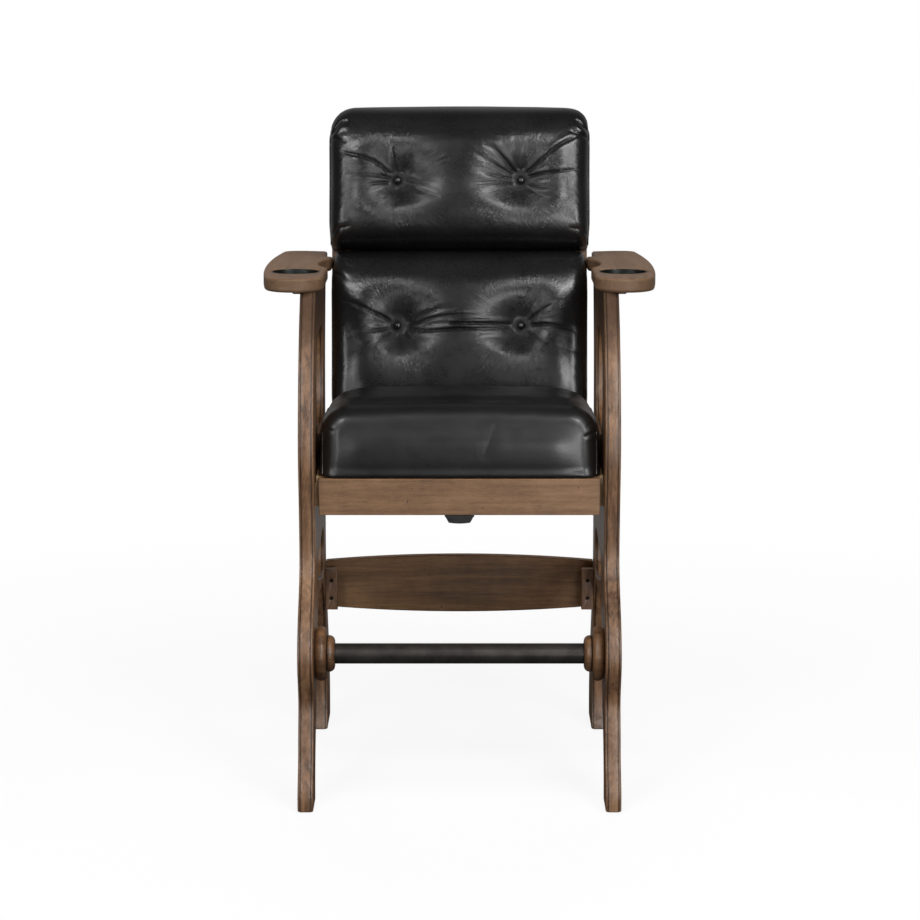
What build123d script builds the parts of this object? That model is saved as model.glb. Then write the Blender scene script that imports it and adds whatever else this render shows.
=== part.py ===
from build123d import *
import math
import os

# Tall upholstered bar stool for watching a game: two shaped wooden side frames, a tufted back in two rolls,
# a deep seat over a shallow drawer, broad armrests with a cup well and a cue notch, and a tube footrest.
# The stool faces -Y, +X is to its right, and its origin is on the floor under the middle of its outline.
# Depths below are measured backwards from the front of the front feet, and heights from the floor.

# Overall frame
inner_gap = 537.0              # clear width between the two side frames
panel_thickness = 29.0         # side frame, one thick board
sole_height = 1.2              # foot soles stand this far up, on the glides
footrest_height = 271.4        # centre of the footrest tube
deck_height = 597.5            # top of the seat deck, where the seat cushion lies
arm_base_height = 932.5        # top of the side frames, where the armrests lie
front_reach = 150.0            # how far the front feet stand in front of the seat
seat_frame_depth = 425.0       # front of the drawer to the back of the rear seat rail
rear_reach = 115.0             # how far the rear feet stand behind the seat frame
panel_edge_radius = 3.2        # rounding of the side frames' face edges
bead_depth = 2.2               # step of the routed bead along the side frames' edges
bead_width = 5.0               # width of the bead, measured across the edge
sole_rounding = 2.5            # rounding of the feet's lower corners

# Armrests
arm_cutout_setback = 409.2     # rear cut-out for the back, from the armrest's front
arm_length = 524.0
arm_width = 122.0              # at its widest
arm_front_width = 112.0        # across the corners of the rounded front
arm_rear_width = 102.0
arm_thickness = 26.5
arm_inner_overhang = 14.5      # armrest's inner edge, inside the side frame's inner face
arm_bow = 46.0                 # how far the rounded front stands out
arm_rear_slant = 12.0          # how much shorter the armrest is at its inner rear corner
arm_corner_radius = 20.0       # where the rounded front meets the outer side
arm_rear_radius = 26.0
arm_small_radius = 7.0
arm_top_radius = 5.0
arm_bottom_radius = 7.0
cup_radius = 45.0
cup_inset = 57.5               # cup centre from the armrest's inner edge
cup_setback = 130.0            # cup centre from the armrest's front
cup_depth = 19.0
cup_wall = 1.2
cup_clearance = 0.3
notch_setback = 193.0          # cue notch from the armrest's front
notch_length = 195.0
notch_depth = 22.0
cleat_width = 20.0
cleat_height = 14.5
cleat_length = 250.0
cleat_setback = 110.0          # cleat from the armrest's front
arm_screw_setback = 205.0      # first screw from the armrest's front
arm_screw_spacing = 130.0
arm_back_gap = 5.0             # between the armrest's rear cut-out and the back frame
arm_cutout_width = 15.0

# Footrest
tube_radius = 19.0
tube_wall = 2.0
footrest_setback = 122.0       # tube axis behind the front of the feet
rosette_radius = 51.0
rosette_thickness = 22.0
collar_radius = 34.0
collar_thickness = 15.0
rosette_rounding = 10.4
collar_rounding = 10.5
collar_edge_rounding = 3.0     # its edge beside the rosette's disc
socket_depth = 10.0            # how far the tube enters a rosette
socket_clearance = 0.2
tube_plug_length = 26.0
plug_clearance = 0.15

# Rear stretcher
stretcher_height = 304.8       # its middle
stretcher_end_width = 93.5
stretcher_crown = 11.5         # how far each long edge swells at the middle
stretcher_thickness = 22.0
stretcher_rear_inset = 8.0     # its back face, in front of the seat frame's back
stretcher_bolt_spread = 66.0
stretcher_rounding = 3.0
block_width = 24.0
block_height = 83.0
block_depth = 18.0
block_rounding = 2.0
block_rise = -3.4              # block's middle from the stretcher's middle
block_screw_spread = 36.0

# Seat frame and drawer
rail_width = 20.0
rail_height = 44.0
rear_rail_height = 58.0
rear_rail_depth = 22.0
deck_thickness = 12.0
deck_side_gap = 2.0
drawer_front_thickness = 18.0
drawer_front_height = 68.5
drawer_front_side_gap = 8.0
drawer_top_gap = 1.0           # below the seat cushion
drawer_stop_gap = 0.5          # between the closed drawer front and the rails
drawer_edge_radius = 1.5
drawer_rear_gap = 55.0         # between the drawer box and the rear rail
drawer_side_thickness = 12.0
drawer_side_height = 46.0
drawer_side_gap = 3.0
drawer_bottom_thickness = 5.0
drawer_lift = 4.0              # drawer box above the lower edge of its front
runner_height = 12.0
runner_entry = 7.0             # how far a runner reaches into a drawer side
runner_clearance = 0.3
runner_rise = 16.0             # runner above the drawer box's lower edge
pull_top_width = 55.0
pull_bottom_width = 40.0
pull_drop = 15.5
pull_thickness = 3.5
pull_flange_depth = 14.0

# Seat cushion
seat_side_gap = 4.5
seat_height = 147.0            # crown above the deck
seat_corner_radius = 58.0
seat_crown = 9.0
seat_front_radius = 38.0
seat_side_tuck = 2.5           # how far the sides draw in between the corners
seat_slope = 3.5               # degrees that the seat's top falls towards the back
seat_back_gap = 4.0

# Back
back_lean = 11.5               # degrees from upright
back_setback = 2.0             # front of the back frame behind the rear rail, at deck height
back_panel_thickness = 8.0
upright_width = 27.0
upright_depth = 28.0
upright_side_gap = 13.0        # upright inside the side frame
upright_top_drop = 45.0        # below the top of the back
cross_rail_width = 60.0
back_bolt_spread = 29.0
cover_thickness = 5.0
cover_edge_gap = 8.0
back_bottom_rise = 14.5        # lower cushion above the deck, along the back
lower_cushion_length = 362.0
upper_cushion_length = 284.0
cushion_crease_gap = 2.0
lower_cushion_side_gap = 13.5  # lower cushion inside the side frame
upper_cushion_side_gap = 8.5
back_cushion_depth = 96.0
back_cushion_crown = 14.0
back_corner_radius = 34.0
upper_corner_radius = 38.0     # upper cushion's top corners, seen from the front
back_side_tuck = 2.0
button_radius = 9.0
button_height = 6.0
button_spread = 122.0          # buttons either side of the middle
upper_button_rise = 131.0      # above the upper cushion's lower edge
lower_button_rise = 208.0      # above the lower cushion's lower edge
tuft_radius = 46.0             # ball that hollows each tuft
tuft_depth = 17.0
button_stem_radius = 1.6
button_plate_radius = 9.0      # washer that holds a button's tie behind the panel
button_plate_thickness = 1.5

# Fasteners and glides
bolt_radius = 3.0
bolt_head_radius = 8.5
bolt_head_height = 2.6
bolt_head_rounding = 0.8
bolt_grip = 16.0               # length of bolt in the part it holds
socket_radius = 2.4            # driver socket in a bolt head
socket_sink = 1.6
screw_radius = 2.0
screw_head_radius = 3.6
screw_head_height = 2.2
screw_grip = 12.0
hole_clearance = 0.2
counterbore_depth = 4.0
seat_bolts_per_side = 3
seat_bolt_inset = 60.0
deck_screw_inset = 45.0
glide_radius = 11.0
glide_rounding = 0.5
glide_pin_radius = 1.3
glide_pin_length = 16.0
overrun = 5.0                  # how far every cut runs past its face

# Places worked out from the sizes above
lean = math.radians(back_lean)
lower_cushion_rise = back_bottom_rise
upper_cushion_rise = lower_cushion_rise + lower_cushion_length + cushion_crease_gap
back_top_rise = upper_cushion_rise + upper_cushion_length
back_frame_depth = upright_depth + cover_thickness
seat_reach = front_reach + seat_frame_depth
back_frame_top = back_top_rise - upright_top_drop
back_reach = seat_reach + back_setback + back_frame_top * math.sin(lean) + back_frame_depth * math.cos(lean)
arm_cutout_reach = (
    seat_reach + back_setback + (arm_base_height - deck_height) * math.tan(lean) - arm_back_gap
)
arm_front_setback = arm_cutout_reach - arm_cutout_setback
overall_depth = max(arm_front_setback + arm_length, seat_reach + rear_reach, back_reach)
front_y = -overall_depth / 2
inner_x = inner_gap / 2
outer_x = inner_x + panel_thickness
seat_front_y = front_y + front_reach
seat_rear_y = seat_front_y + seat_frame_depth
arm_top = arm_base_height + arm_thickness
arm_front_y = front_y + arm_front_setback
arm_rear_y = arm_front_y + arm_length
arm_inner_x = inner_x - arm_inner_overhang
cup_x = arm_inner_x + cup_inset
cup_y = arm_front_y + cup_setback
footrest_y = front_y + footrest_setback
back_origin = (0, seat_rear_y + back_setback, deck_height)
drawer_front_top = deck_height - drawer_top_gap
drawer_front_bottom = drawer_front_top - drawer_front_height
drawer_back_y = seat_front_y + drawer_front_thickness
rail_front_y = drawer_back_y + drawer_stop_gap
rail_top = deck_height - deck_thickness
rail_bottom = rail_top - rail_height
rail_rear_y = seat_rear_y - rear_rail_depth
rail_inner_x = inner_x - rail_width
drawer_length = rail_rear_y - drawer_back_y - drawer_rear_gap
box_half_width = rail_inner_x - drawer_side_gap
box_bottom = drawer_front_bottom + drawer_lift
runner_bottom = box_bottom + runner_rise
stretcher_rear_y = seat_rear_y - stretcher_rear_inset
stretcher_front_y = stretcher_rear_y - stretcher_thickness

# Outline of a side frame. A depth share counts zones from the front foot: 0 to 1 is the front reach,
# 1 to 2 the seat frame and 2 to 3 the rear reach. A height share counts them from the sole: 0 to 1 reaches
# the footrest, 1 to 2 the seat deck and 2 to 3 the armrest.
front_edge_shares = (
    (0.00, 0.00), (0.00, 0.06), (0.02, 0.13), (0.18, 0.28), (0.33, 0.56), (0.40, 0.69), (0.31, 0.85),
    (0.23, 0.97), (0.32, 1.15), (0.60, 1.31), (0.92, 1.50), (0.94, 1.66), (0.88, 1.90), (0.82, 2.12),
    (0.98, 2.47), (1.10, 2.78), (1.23, 3.00),
)
rear_edge_shares = (
    (2.70, 3.00), (2.55, 2.84), (2.34, 2.61), (2.20, 2.37), (2.12, 2.10), (2.02, 1.75), (1.99, 1.50),
    (1.99, 1.28), (2.15, 1.05), (2.41, 0.86), (2.75, 0.60), (2.98, 0.34), (2.95, 0.00),
)
arch_edge_shares = (
    (1.97, 0.00), (2.05, 0.17), (2.07, 0.38), (1.98, 0.68), (1.93, 0.93), (1.84, 1.11), (1.66, 1.19),
    (1.45, 1.21), (1.30, 1.20), (1.18, 1.13), (1.12, 0.99), (1.10, 0.82), (1.02, 0.62), (0.79, 0.40),
    (0.62, 0.18), (0.57, 0.00),
)
upper_opening_shares = (
    (1.45, 2.72), (1.64, 2.73), (1.80, 2.69), (1.86, 2.55), (1.86, 2.36), (1.79, 2.21), (1.60, 2.17),
    (1.37, 2.18), (1.27, 2.27), (1.25, 2.42), (1.28, 2.58), (1.35, 2.67),
)
lower_opening_shares = (
    (1.25, 1.45), (1.41, 1.48), (1.60, 1.51), (1.74, 1.51), (1.81, 1.42), (1.80, 1.30), (1.72, 1.24),
    (1.59, 1.26), (1.42, 1.30), (1.27, 1.35), (1.22, 1.40),
)
depth_levels = (front_y, seat_front_y, seat_rear_y, seat_rear_y + rear_reach)
height_levels = (sole_height, footrest_height, deck_height, arm_base_height)


def level(levels, share):
    """Height or depth of a zone share: its whole part picks the zone."""
    zone = min(int(share), len(levels) - 2)
    return levels[zone] + (share - zone) * (levels[zone + 1] - levels[zone])


def side_points(shares):
    """Points of a side frame's outline, in the plane of the frame."""
    return [(0, level(depth_levels, depth), level(height_levels, height)) for depth, height in shares]


def block(x_range, y_range, z_range):
    """Plain rectangular solid between three pairs of limits."""
    sizes = [high - low for low, high in (x_range, y_range, z_range)]
    middle = [(high + low) / 2 for low, high in (x_range, y_range, z_range)]
    return Pos(*middle) * Box(*sizes)


def rod(start, direction, radius, length):
    """Cylinder of a given length that starts at a point and runs along a direction."""
    return Plane(origin=start, z_dir=direction) * Cylinder(
        radius, length, align=(Align.CENTER, Align.CENTER, Align.MIN)
    )


def bolt(start, direction, length, head_radius, head_height, shank_radius):
    """Bolt or screw whose head stands outside start and whose shank runs along direction."""
    outward = tuple(-value for value in direction)
    head = rod(start, outward, head_radius, head_height)
    if head_height > bolt_head_rounding:
        rim = head.edges().sort_by(Axis(start, outward))[-1]
        head = fillet(rim, min(bolt_head_rounding, head_height / 2))
    top = tuple(place + step * head_height for place, step in zip(start, outward))
    recess = rod(top, direction, min(socket_radius, head_radius / 2), min(socket_sink, head_height / 2))
    return head + rod(start, direction, shank_radius, length) - recess


def frame_bolt(start, direction, length):
    """Flat-headed frame bolt."""
    return bolt(start, direction, length, bolt_head_radius, bolt_head_height, bolt_radius)


def wood_screw(start, direction, length):
    """Small wood screw."""
    return bolt(start, direction, length, screw_head_radius, screw_head_height, screw_radius)


def hole(start, direction, radius, length):
    """Cutter for a clearance hole that begins one overrun before its start."""
    begin = tuple(place - step * overrun for place, step in zip(start, direction))
    return rod(begin, direction, radius + hole_clearance, length + overrun)


def mirrored(solid):
    """The same piece for the left side."""
    return mirror(solid, about=Plane.YZ)


def evenly(start, end, count):
    """Evenly spaced places from start to end."""
    return [start + (end - start) * index / max(count - 1, 1) for index in range(count)]


# Fastener places that more than one piece needs, on the right side
seat_bolt_places = [
    (outer_x, y, (rail_top + rail_bottom) / 2)
    for y in evenly(rail_front_y + seat_bolt_inset, rail_rear_y - seat_bolt_inset, seat_bolts_per_side)
]
footrest_bolt_place = (outer_x, footrest_y, footrest_height)
stretcher_bolt_places = [
    (outer_x, (stretcher_front_y + stretcher_rear_y) / 2, stretcher_height + side * stretcher_bolt_spread / 2)
    for side in (-1, 1)
]
block_screw_places = [
    (
        inner_x - block_width / 2,
        stretcher_front_y - block_depth + counterbore_depth,
        stretcher_height + block_rise + side * block_screw_spread / 2,
    )
    for side in (-1, 1)
]
cleat_front_y = arm_front_y + cleat_setback
cleat_screw_places = [
    (outer_x + cleat_width / 2, y, arm_base_height - cleat_height)
    for y in (arm_front_y + arm_screw_setback, arm_front_y + arm_screw_setback + arm_screw_spacing)
]
foot_end_shares = (
    (front_edge_shares[0], arch_edge_shares[-1]),
    (rear_edge_shares[-1], arch_edge_shares[0]),
)
glide_places = [
    ((inner_x + outer_x) / 2, (level(depth_levels, one[0]) + level(depth_levels, other[0])) / 2, 0)
    for one, other in foot_end_shares
]
deck_screw_places = [
    (rail_inner_x + rail_width / 2, y, deck_height)
    for y in (rail_front_y + deck_screw_inset, rail_rear_y - deck_screw_inset)
]


def inset_spline(shares, inset, closed=False):
    """Smooth curve through a table's points, each moved by an inset towards the right of its travel."""
    points = side_points(shares)
    curve = Spline(*points, periodic=closed)
    moved = []
    for index, point in enumerate(points):
        tangent = curve.tangent_at(curve.param_at_point(point))
        at_end = not closed and index in (0, len(points) - 1)
        if at_end:
            moved.append((0, point[1] + math.copysign(inset, tangent.Z) / abs(tangent.Z), point[2]))
        else:
            moved.append((0, point[1] + inset * tangent.Z, point[2] - inset * tangent.Y))
    return Spline(*moved, periodic=closed)


def side_outline(inset):
    """Closed face of a side frame with its openings, drawn in by an inset along its curved edges."""
    front = inset_spline(front_edge_shares, inset)
    rear = inset_spline(rear_edge_shares, inset)
    arch = inset_spline(arch_edge_shares, inset)
    top = Line(front @ 1, rear @ 0)
    rear_sole = Line(rear @ 1, arch @ 0)
    front_sole = Line(arch @ 1, front @ 0)
    outline = Face(Wire([front, top, rear, rear_sole, arch, front_sole]))
    soles = [corner for corner in outline.vertices() if corner.Z < sole_height + sole_rounding]
    outline = fillet(soles, sole_rounding)
    for shares in (upper_opening_shares, lower_opening_shares):
        outline = outline - Face(Wire([inset_spline(shares, -inset, closed=True)]))
    return outline


def right_side_frame():
    """Side frame: thick board with a shaped outline, a routed bead and its bolt holes."""
    core = Pos(inner_x + bead_width, 0, 0) * side_outline(0)
    frame = extrude(core, amount=panel_thickness - 2 * bead_width, dir=(1, 0, 0))
    skin_outline = side_outline(bead_depth)
    for start, face_x in ((inner_x, inner_x), (outer_x - bead_width, outer_x)):
        skin = extrude(Pos(start, 0, 0) * skin_outline, amount=bead_width, dir=(1, 0, 0))
        rims = [
            edge for edge in skin.edges()
            if abs(edge.center().X - face_x) < panel_edge_radius / 2
            and edge.center().Z < arm_base_height - panel_edge_radius
        ]
        frame = frame + fillet(rims, panel_edge_radius)
    for place in seat_bolt_places + [footrest_bolt_place] + stretcher_bolt_places:
        frame = frame - hole(place, (-1, 0, 0), bolt_radius, panel_thickness + overrun)
    for x, y, _ in glide_places:
        frame = frame - hole((x, y, sole_height), (0, 0, 1), glide_pin_radius, glide_pin_length)
    return frame


def arm_outline():
    """Plan outline of the right armrest, without its cup well and cue notch."""
    inner = arm_inner_x
    corner_y = arm_front_y + arm_bow
    front_outer = inner + arm_front_width
    rear_outer = inner + arm_rear_width
    inner_rear_y = arm_rear_y - arm_rear_slant
    cutout_y = arm_front_y + arm_cutout_setback
    nose = ThreePointArc((inner, corner_y), ((inner + front_outer) / 2, arm_front_y), (front_outer, corner_y))
    side = ThreePointArc(
        (front_outer, corner_y), (inner + arm_width, (corner_y + arm_rear_y) / 2), (rear_outer, arm_rear_y)
    )
    rear_run = inner + arm_cutout_width
    points = [
        (rear_outer, arm_rear_y), ((rear_outer + rear_run) / 2, arm_rear_y), (rear_run, inner_rear_y),
        (rear_run, cutout_y), (inner, cutout_y), (inner, corner_y),
    ]
    face = Face(Wire([nose, side] + Polyline(*points).edges()))
    face = fillet(face.vertices().sort_by_distance((rear_outer, arm_rear_y))[0], arm_rear_radius)
    face = fillet(face.vertices().sort_by_distance((front_outer, corner_y))[0], arm_corner_radius)
    for place in ((rear_run, inner_rear_y), (rear_run, cutout_y), (inner, cutout_y)):
        face = fillet(face.vertices().sort_by_distance(place)[0], arm_small_radius)
    return face


def back_plane_y(height):
    """Depth of the front of the back panel at a height."""
    return back_origin[1] + (height - deck_height) * math.tan(lean)


def right_armrest():
    """Armrest: rounded board with a cup well, a scooped cue notch and a cut-out for the back."""
    notch_y = arm_front_y + notch_setback
    chord = Line((arm_inner_x - overrun, notch_y), (arm_inner_x - overrun, notch_y + notch_length))
    scoop = ThreePointArc(
        chord @ 0, (arm_inner_x + notch_depth, notch_y + notch_length / 2), chord @ 1
    )
    outline = arm_outline() - Face(Wire([chord, scoop]))
    lips = [corner for corner in outline.vertices() if abs(corner.X - arm_inner_x) < hole_clearance
            and notch_y - overrun < corner.Y < notch_y + notch_length + overrun]
    outline = fillet(lips, arm_small_radius)
    board = extrude(Pos(0, 0, arm_base_height) * outline, amount=arm_thickness)
    board = fillet(board.faces().sort_by(Axis.Z)[-1].edges(), arm_top_radius)
    board = fillet(board.faces().sort_by(Axis.Z)[0].edges(), arm_bottom_radius)
    board = board - rod((cup_x, cup_y, arm_top + overrun), (0, 0, -1), cup_radius, cup_depth + overrun)
    for place in cleat_screw_places:
        board = board - hole((place[0], place[1], arm_base_height), (0, 0, 1), screw_radius, screw_grip)
    return board


def right_cup_insert():
    """Shallow metal cup, flush in its well."""
    outer = cup_radius - cup_clearance
    bottom = arm_top - cup_depth
    shell = rod((cup_x, cup_y, bottom), (0, 0, 1), outer, cup_depth)
    shell = fillet(shell.edges().sort_by(Axis.Z)[0], 2 * cup_wall)
    hollow = rod((cup_x, cup_y, bottom + cup_wall), (0, 0, 1), outer - cup_wall, cup_depth)
    return shell - fillet(hollow.edges().sort_by(Axis.Z)[0], cup_wall)


def right_arm_cleat():
    """Strip along the outside of the side frame that the armrest is screwed to."""
    cleat = block(
        (outer_x, outer_x + cleat_width),
        (cleat_front_y, cleat_front_y + cleat_length),
        (arm_base_height - cleat_height, arm_base_height),
    )
    lower_edges = cleat.edges().filter_by(Axis.Y).sort_by(Axis.Z)[:2]
    cleat = fillet(lower_edges.sort_by(Axis.X)[-1], arm_small_radius / 2)
    for place in cleat_screw_places:
        cleat = cleat - hole(place, (0, 0, 1), screw_radius, cleat_height + overrun)
    return cleat


def footrest_tube():
    """Footrest tube that ends inside both rosettes."""
    half = inner_x - rosette_thickness - collar_thickness + socket_depth
    start = (-half, footrest_y, footrest_height)
    bore = rod(start, (1, 0, 0), tube_radius - tube_wall, 2 * half)
    return rod(start, (1, 0, 0), tube_radius, 2 * half) - bore


def right_tube_plug():
    """Threaded plug inside the end of the footrest tube."""
    end = inner_x - rosette_thickness - collar_thickness + socket_depth
    start = (end, footrest_y, footrest_height)
    plug = rod(start, (-1, 0, 0), tube_radius - tube_wall - plug_clearance, tube_plug_length)
    return plug - hole(start, (-1, 0, 0), bolt_radius, bolt_grip)


def right_rosette():
    """Turned wooden rosette that carries one end of the footrest tube."""
    start = (inner_x, footrest_y, footrest_height)
    disc = rod(start, (-1, 0, 0), rosette_radius, rosette_thickness)
    disc = fillet(disc.edges().filter_by(GeomType.CIRCLE), rosette_rounding)
    neck_start = (inner_x - rosette_thickness, footrest_y, footrest_height)
    collar = rod(neck_start, (-1, 0, 0), collar_radius, collar_thickness)
    collar_edges = collar.edges().filter_by(GeomType.CIRCLE).sort_by(Axis.X)
    collar = fillet(collar_edges[0], collar_rounding)
    collar = fillet(collar.edges().filter_by(GeomType.CIRCLE).sort_by(Axis.X)[-1], collar_edge_rounding)
    turned = disc + collar + rod(start, (-1, 0, 0), collar_radius - collar_edge_rounding,
                                 rosette_thickness + collar_edge_rounding)
    mouth = inner_x - rosette_thickness - collar_thickness
    socket = rod((mouth - overrun, footrest_y, footrest_height), (1, 0, 0),
                 tube_radius + socket_clearance, socket_depth + overrun)
    return turned - socket - hole(start, (-1, 0, 0), bolt_radius, rosette_thickness + collar_thickness)


def rear_stretcher():
    """Rear stretcher: board whose long edges both swell towards the middle."""
    half_end = stretcher_end_width / 2
    top = ThreePointArc(
        (-inner_x, stretcher_height + half_end),
        (0, stretcher_height + half_end + stretcher_crown),
        (inner_x, stretcher_height + half_end),
    )
    bottom = ThreePointArc(
        (inner_x, stretcher_height - half_end),
        (0, stretcher_height - half_end - stretcher_crown),
        (-inner_x, stretcher_height - half_end),
    )
    outline = Face(Wire([top, Line(top @ 1, bottom @ 0), bottom, Line(bottom @ 1, top @ 0)]))
    front = Plane(origin=(0, stretcher_rear_y, 0), x_dir=(1, 0, 0), z_dir=(0, -1, 0))
    board = extrude(front * outline, amount=stretcher_thickness)
    board = fillet(board.edges().filter_by(GeomType.CIRCLE), stretcher_rounding)
    for place in block_screw_places:
        for side in (-1, 1):
            start = (side * place[0], stretcher_front_y, place[2])
            board = board - hole(start, (0, 1, 0), screw_radius, screw_grip)
    for place in stretcher_bolt_places:
        for side in (-1, 1):
            start = (side * inner_x, place[1], place[2])
            board = board - hole(start, (-side, 0, 0), bolt_radius, bolt_grip)
    return board


def right_stretcher_block():
    """Block that holds the end of the rear stretcher to the side frame."""
    middle = stretcher_height + block_rise
    piece = block(
        (inner_x - block_width, inner_x),
        (stretcher_front_y - block_depth, stretcher_front_y),
        (middle - block_height / 2, middle + block_height / 2),
    )
    piece = fillet(piece.faces().sort_by(Axis.Y)[0].edges(), block_rounding)
    for x, y, z in block_screw_places:
        piece = piece - hole((x, y, z), (0, 1, 0), screw_radius, block_depth)
        piece = piece - hole((x, y - counterbore_depth, z), (0, 1, 0), screw_head_radius, counterbore_depth)
    return piece


def right_seat_rail():
    """Side rail of the seat frame."""
    rail = block((rail_inner_x, inner_x), (rail_front_y, rail_rear_y), (rail_bottom, rail_top))
    for place in seat_bolt_places:
        rail = rail - hole((inner_x, place[1], place[2]), (-1, 0, 0), bolt_radius, bolt_grip)
    for place in deck_screw_places:
        rail = rail - hole((place[0], place[1], rail_top), (0, 0, -1), screw_radius, screw_grip)
    return rail


def rear_seat_rail():
    """Rear rail of the seat frame, which also carries the back's uprights."""
    rail = block((-inner_x, inner_x), (rail_rear_y, seat_rear_y), (rail_top - rear_rail_height, rail_top))
    for x, _, z in back_bolt_places():
        for side in (-1, 1):
            rail = rail - hole((side * x, seat_rear_y, z), (0, -1, 0), bolt_radius, bolt_grip)
    return rail


def seat_deck():
    """Plywood deck that carries the seat cushion."""
    half = inner_x - deck_side_gap
    deck = block((-half, half), (rail_front_y, seat_rear_y), (rail_top, deck_height))
    for x, y, z in deck_screw_places:
        for side in (-1, 1):
            sink = (side * x, y, z - screw_head_height)
            deck = deck - hole(sink, (0, 0, -1), screw_radius, deck_thickness)
            deck = deck - hole((side * x, y, z), (0, 0, -1), screw_head_radius, screw_head_height)
    return deck


def cushion_section(plane, half_width, depth, crown, corner, tuck):
    """One cross-section of a cushion: flat base, drawn-in sides, round corners and a crowned face."""
    left = ThreePointArc((-half_width, 0), (-half_width + tuck, depth / 2), (-half_width, depth))
    face = ThreePointArc((-half_width, depth), (0, depth + crown), (half_width, depth))
    right = ThreePointArc((half_width, depth), (half_width - tuck, depth / 2), (half_width, 0))
    outline = Face(Wire([left, face, right, Line(right @ 1, left @ 0)]))
    corners = [vertex for vertex in outline.vertices() if vertex.Y > depth / 2]
    return plane * fillet(corners, corner)


# Shares of a back cushion's length, and of its depth, crown and half width there
back_section_shares = (
    (0.00, 0.52, 0.30, 0.975), (0.05, 0.82, 0.70, 0.995), (0.16, 0.97, 0.95, 1.00), (0.50, 1.00, 1.00, 0.995),
    (0.84, 0.97, 0.95, 1.00), (0.95, 0.80, 0.70, 0.99), (1.00, 0.50, 0.30, 0.965),
)


def seat_cushion():
    """Seat cushion: deep crowned pad with a soft front roll and a rear face that follows the back."""
    half_width = inner_x - seat_side_gap
    rear_gap = (back_cushion_total() + seat_back_gap) / math.cos(lean)
    rear_base = back_plane_y(deck_height) - rear_gap
    rear_top = back_plane_y(deck_height + seat_height) - rear_gap
    plane = Plane(origin=(0, seat_front_y, deck_height), x_dir=(1, 0, 0), z_dir=(0, -1, 0))
    shoulder = seat_height - seat_crown
    section = cushion_section(plane, half_width, shoulder, seat_crown, seat_corner_radius, seat_side_tuck)
    slope = math.radians(seat_slope)
    run = (rear_top - seat_front_y) / math.cos(slope)
    pad = extrude(section, amount=run, dir=(0, math.cos(slope), -math.sin(slope)))
    depth_range = (seat_front_y - overrun, rear_top + overrun)
    pad = pad - block((-inner_x, inner_x), depth_range, (deck_height - seat_height, deck_height))
    wedge = Polyline(
        (0, rear_base, deck_height), (0, rear_top, deck_height + seat_height),
        (0, rear_top + overrun, deck_height + seat_height), (0, rear_top + overrun, deck_height), close=True,
    )
    cutter = extrude(Face(Wire(wedge.edges())), amount=half_width + overrun, both=True, dir=(1, 0, 0))
    pad = pad - cutter
    front_edges = pad.faces().sort_by(Axis.Y)[0].edges()
    upper_edges = [edge for edge in front_edges if edge.center().Z > deck_height + seat_side_tuck]
    return fillet(upper_edges, seat_front_radius)


def back_cushion_total():
    """Depth of a back cushion with its crown."""
    return back_cushion_depth + back_cushion_crown


def back_place(x, rise, out):
    """Point of the back: x, how far up along the back, and how far in front of its panel."""
    return (
        x,
        back_origin[1] + rise * math.sin(lean) - out * math.cos(lean),
        back_origin[2] + rise * math.cos(lean) + out * math.sin(lean),
    )


back_normal = (0, -math.cos(lean), math.sin(lean))
back_inward = (0, math.cos(lean), -math.sin(lean))
button_rises = (lower_cushion_rise + lower_button_rise, upper_cushion_rise + upper_button_rise)
tuft_rim = tuft_radius - math.sqrt(tuft_radius ** 2 - button_radius ** 2)


def back_cushion(rise, length, half_width, button_rise):
    """Back cushion: roll with a crowned face, soft ends and two sewn tufts."""
    sections = []
    for length_share, depth_share, crown_share, width_share in back_section_shares:
        origin = back_place(0, rise + length_share * length, 0)
        plane = Plane(origin=origin, x_dir=(1, 0, 0), z_dir=(0, -math.sin(lean), -math.cos(lean)))
        depth = back_cushion_depth * depth_share
        corner = back_corner_radius * depth_share
        sections.append(
            cushion_section(plane, half_width * width_share, depth, back_cushion_crown * crown_share, corner,
                            back_side_tuck)
        )
    cushion = loft(sections)
    for side in (-1, 1):
        ball_out = back_cushion_total() - tuft_depth + tuft_radius
        centre = back_place(side * button_spread, rise + button_rise, ball_out)
        cushion = cushion - Pos(*centre) * Sphere(tuft_radius)
        base = back_place(side * button_spread, rise + button_rise, 0)
        cushion = cushion - rod(base, back_normal, button_stem_radius + hole_clearance, back_cushion_total())
    return cushion


def lower_back_cushion():
    """Lower back cushion, between the armrests."""
    return back_cushion(
        lower_cushion_rise, lower_cushion_length, inner_x - lower_cushion_side_gap, lower_button_rise
    )


def upper_back_cushion():
    """Upper back cushion, a little wider than the lower one."""
    half = inner_x - upper_cushion_side_gap
    cushion = back_cushion(upper_cushion_rise, upper_cushion_length, half, upper_button_rise)
    outline = Rectangle(2 * half, upper_cushion_length)
    outline = fillet(outline.vertices().sort_by(Axis.Y)[-2:], upper_corner_radius)
    middle = back_place(0, upper_cushion_rise + upper_cushion_length / 2, 0)
    plane = Plane(origin=middle, x_dir=(1, 0, 0), z_dir=back_normal)
    return cushion & plane * extrude(outline, amount=back_cushion_total() + overrun)


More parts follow.
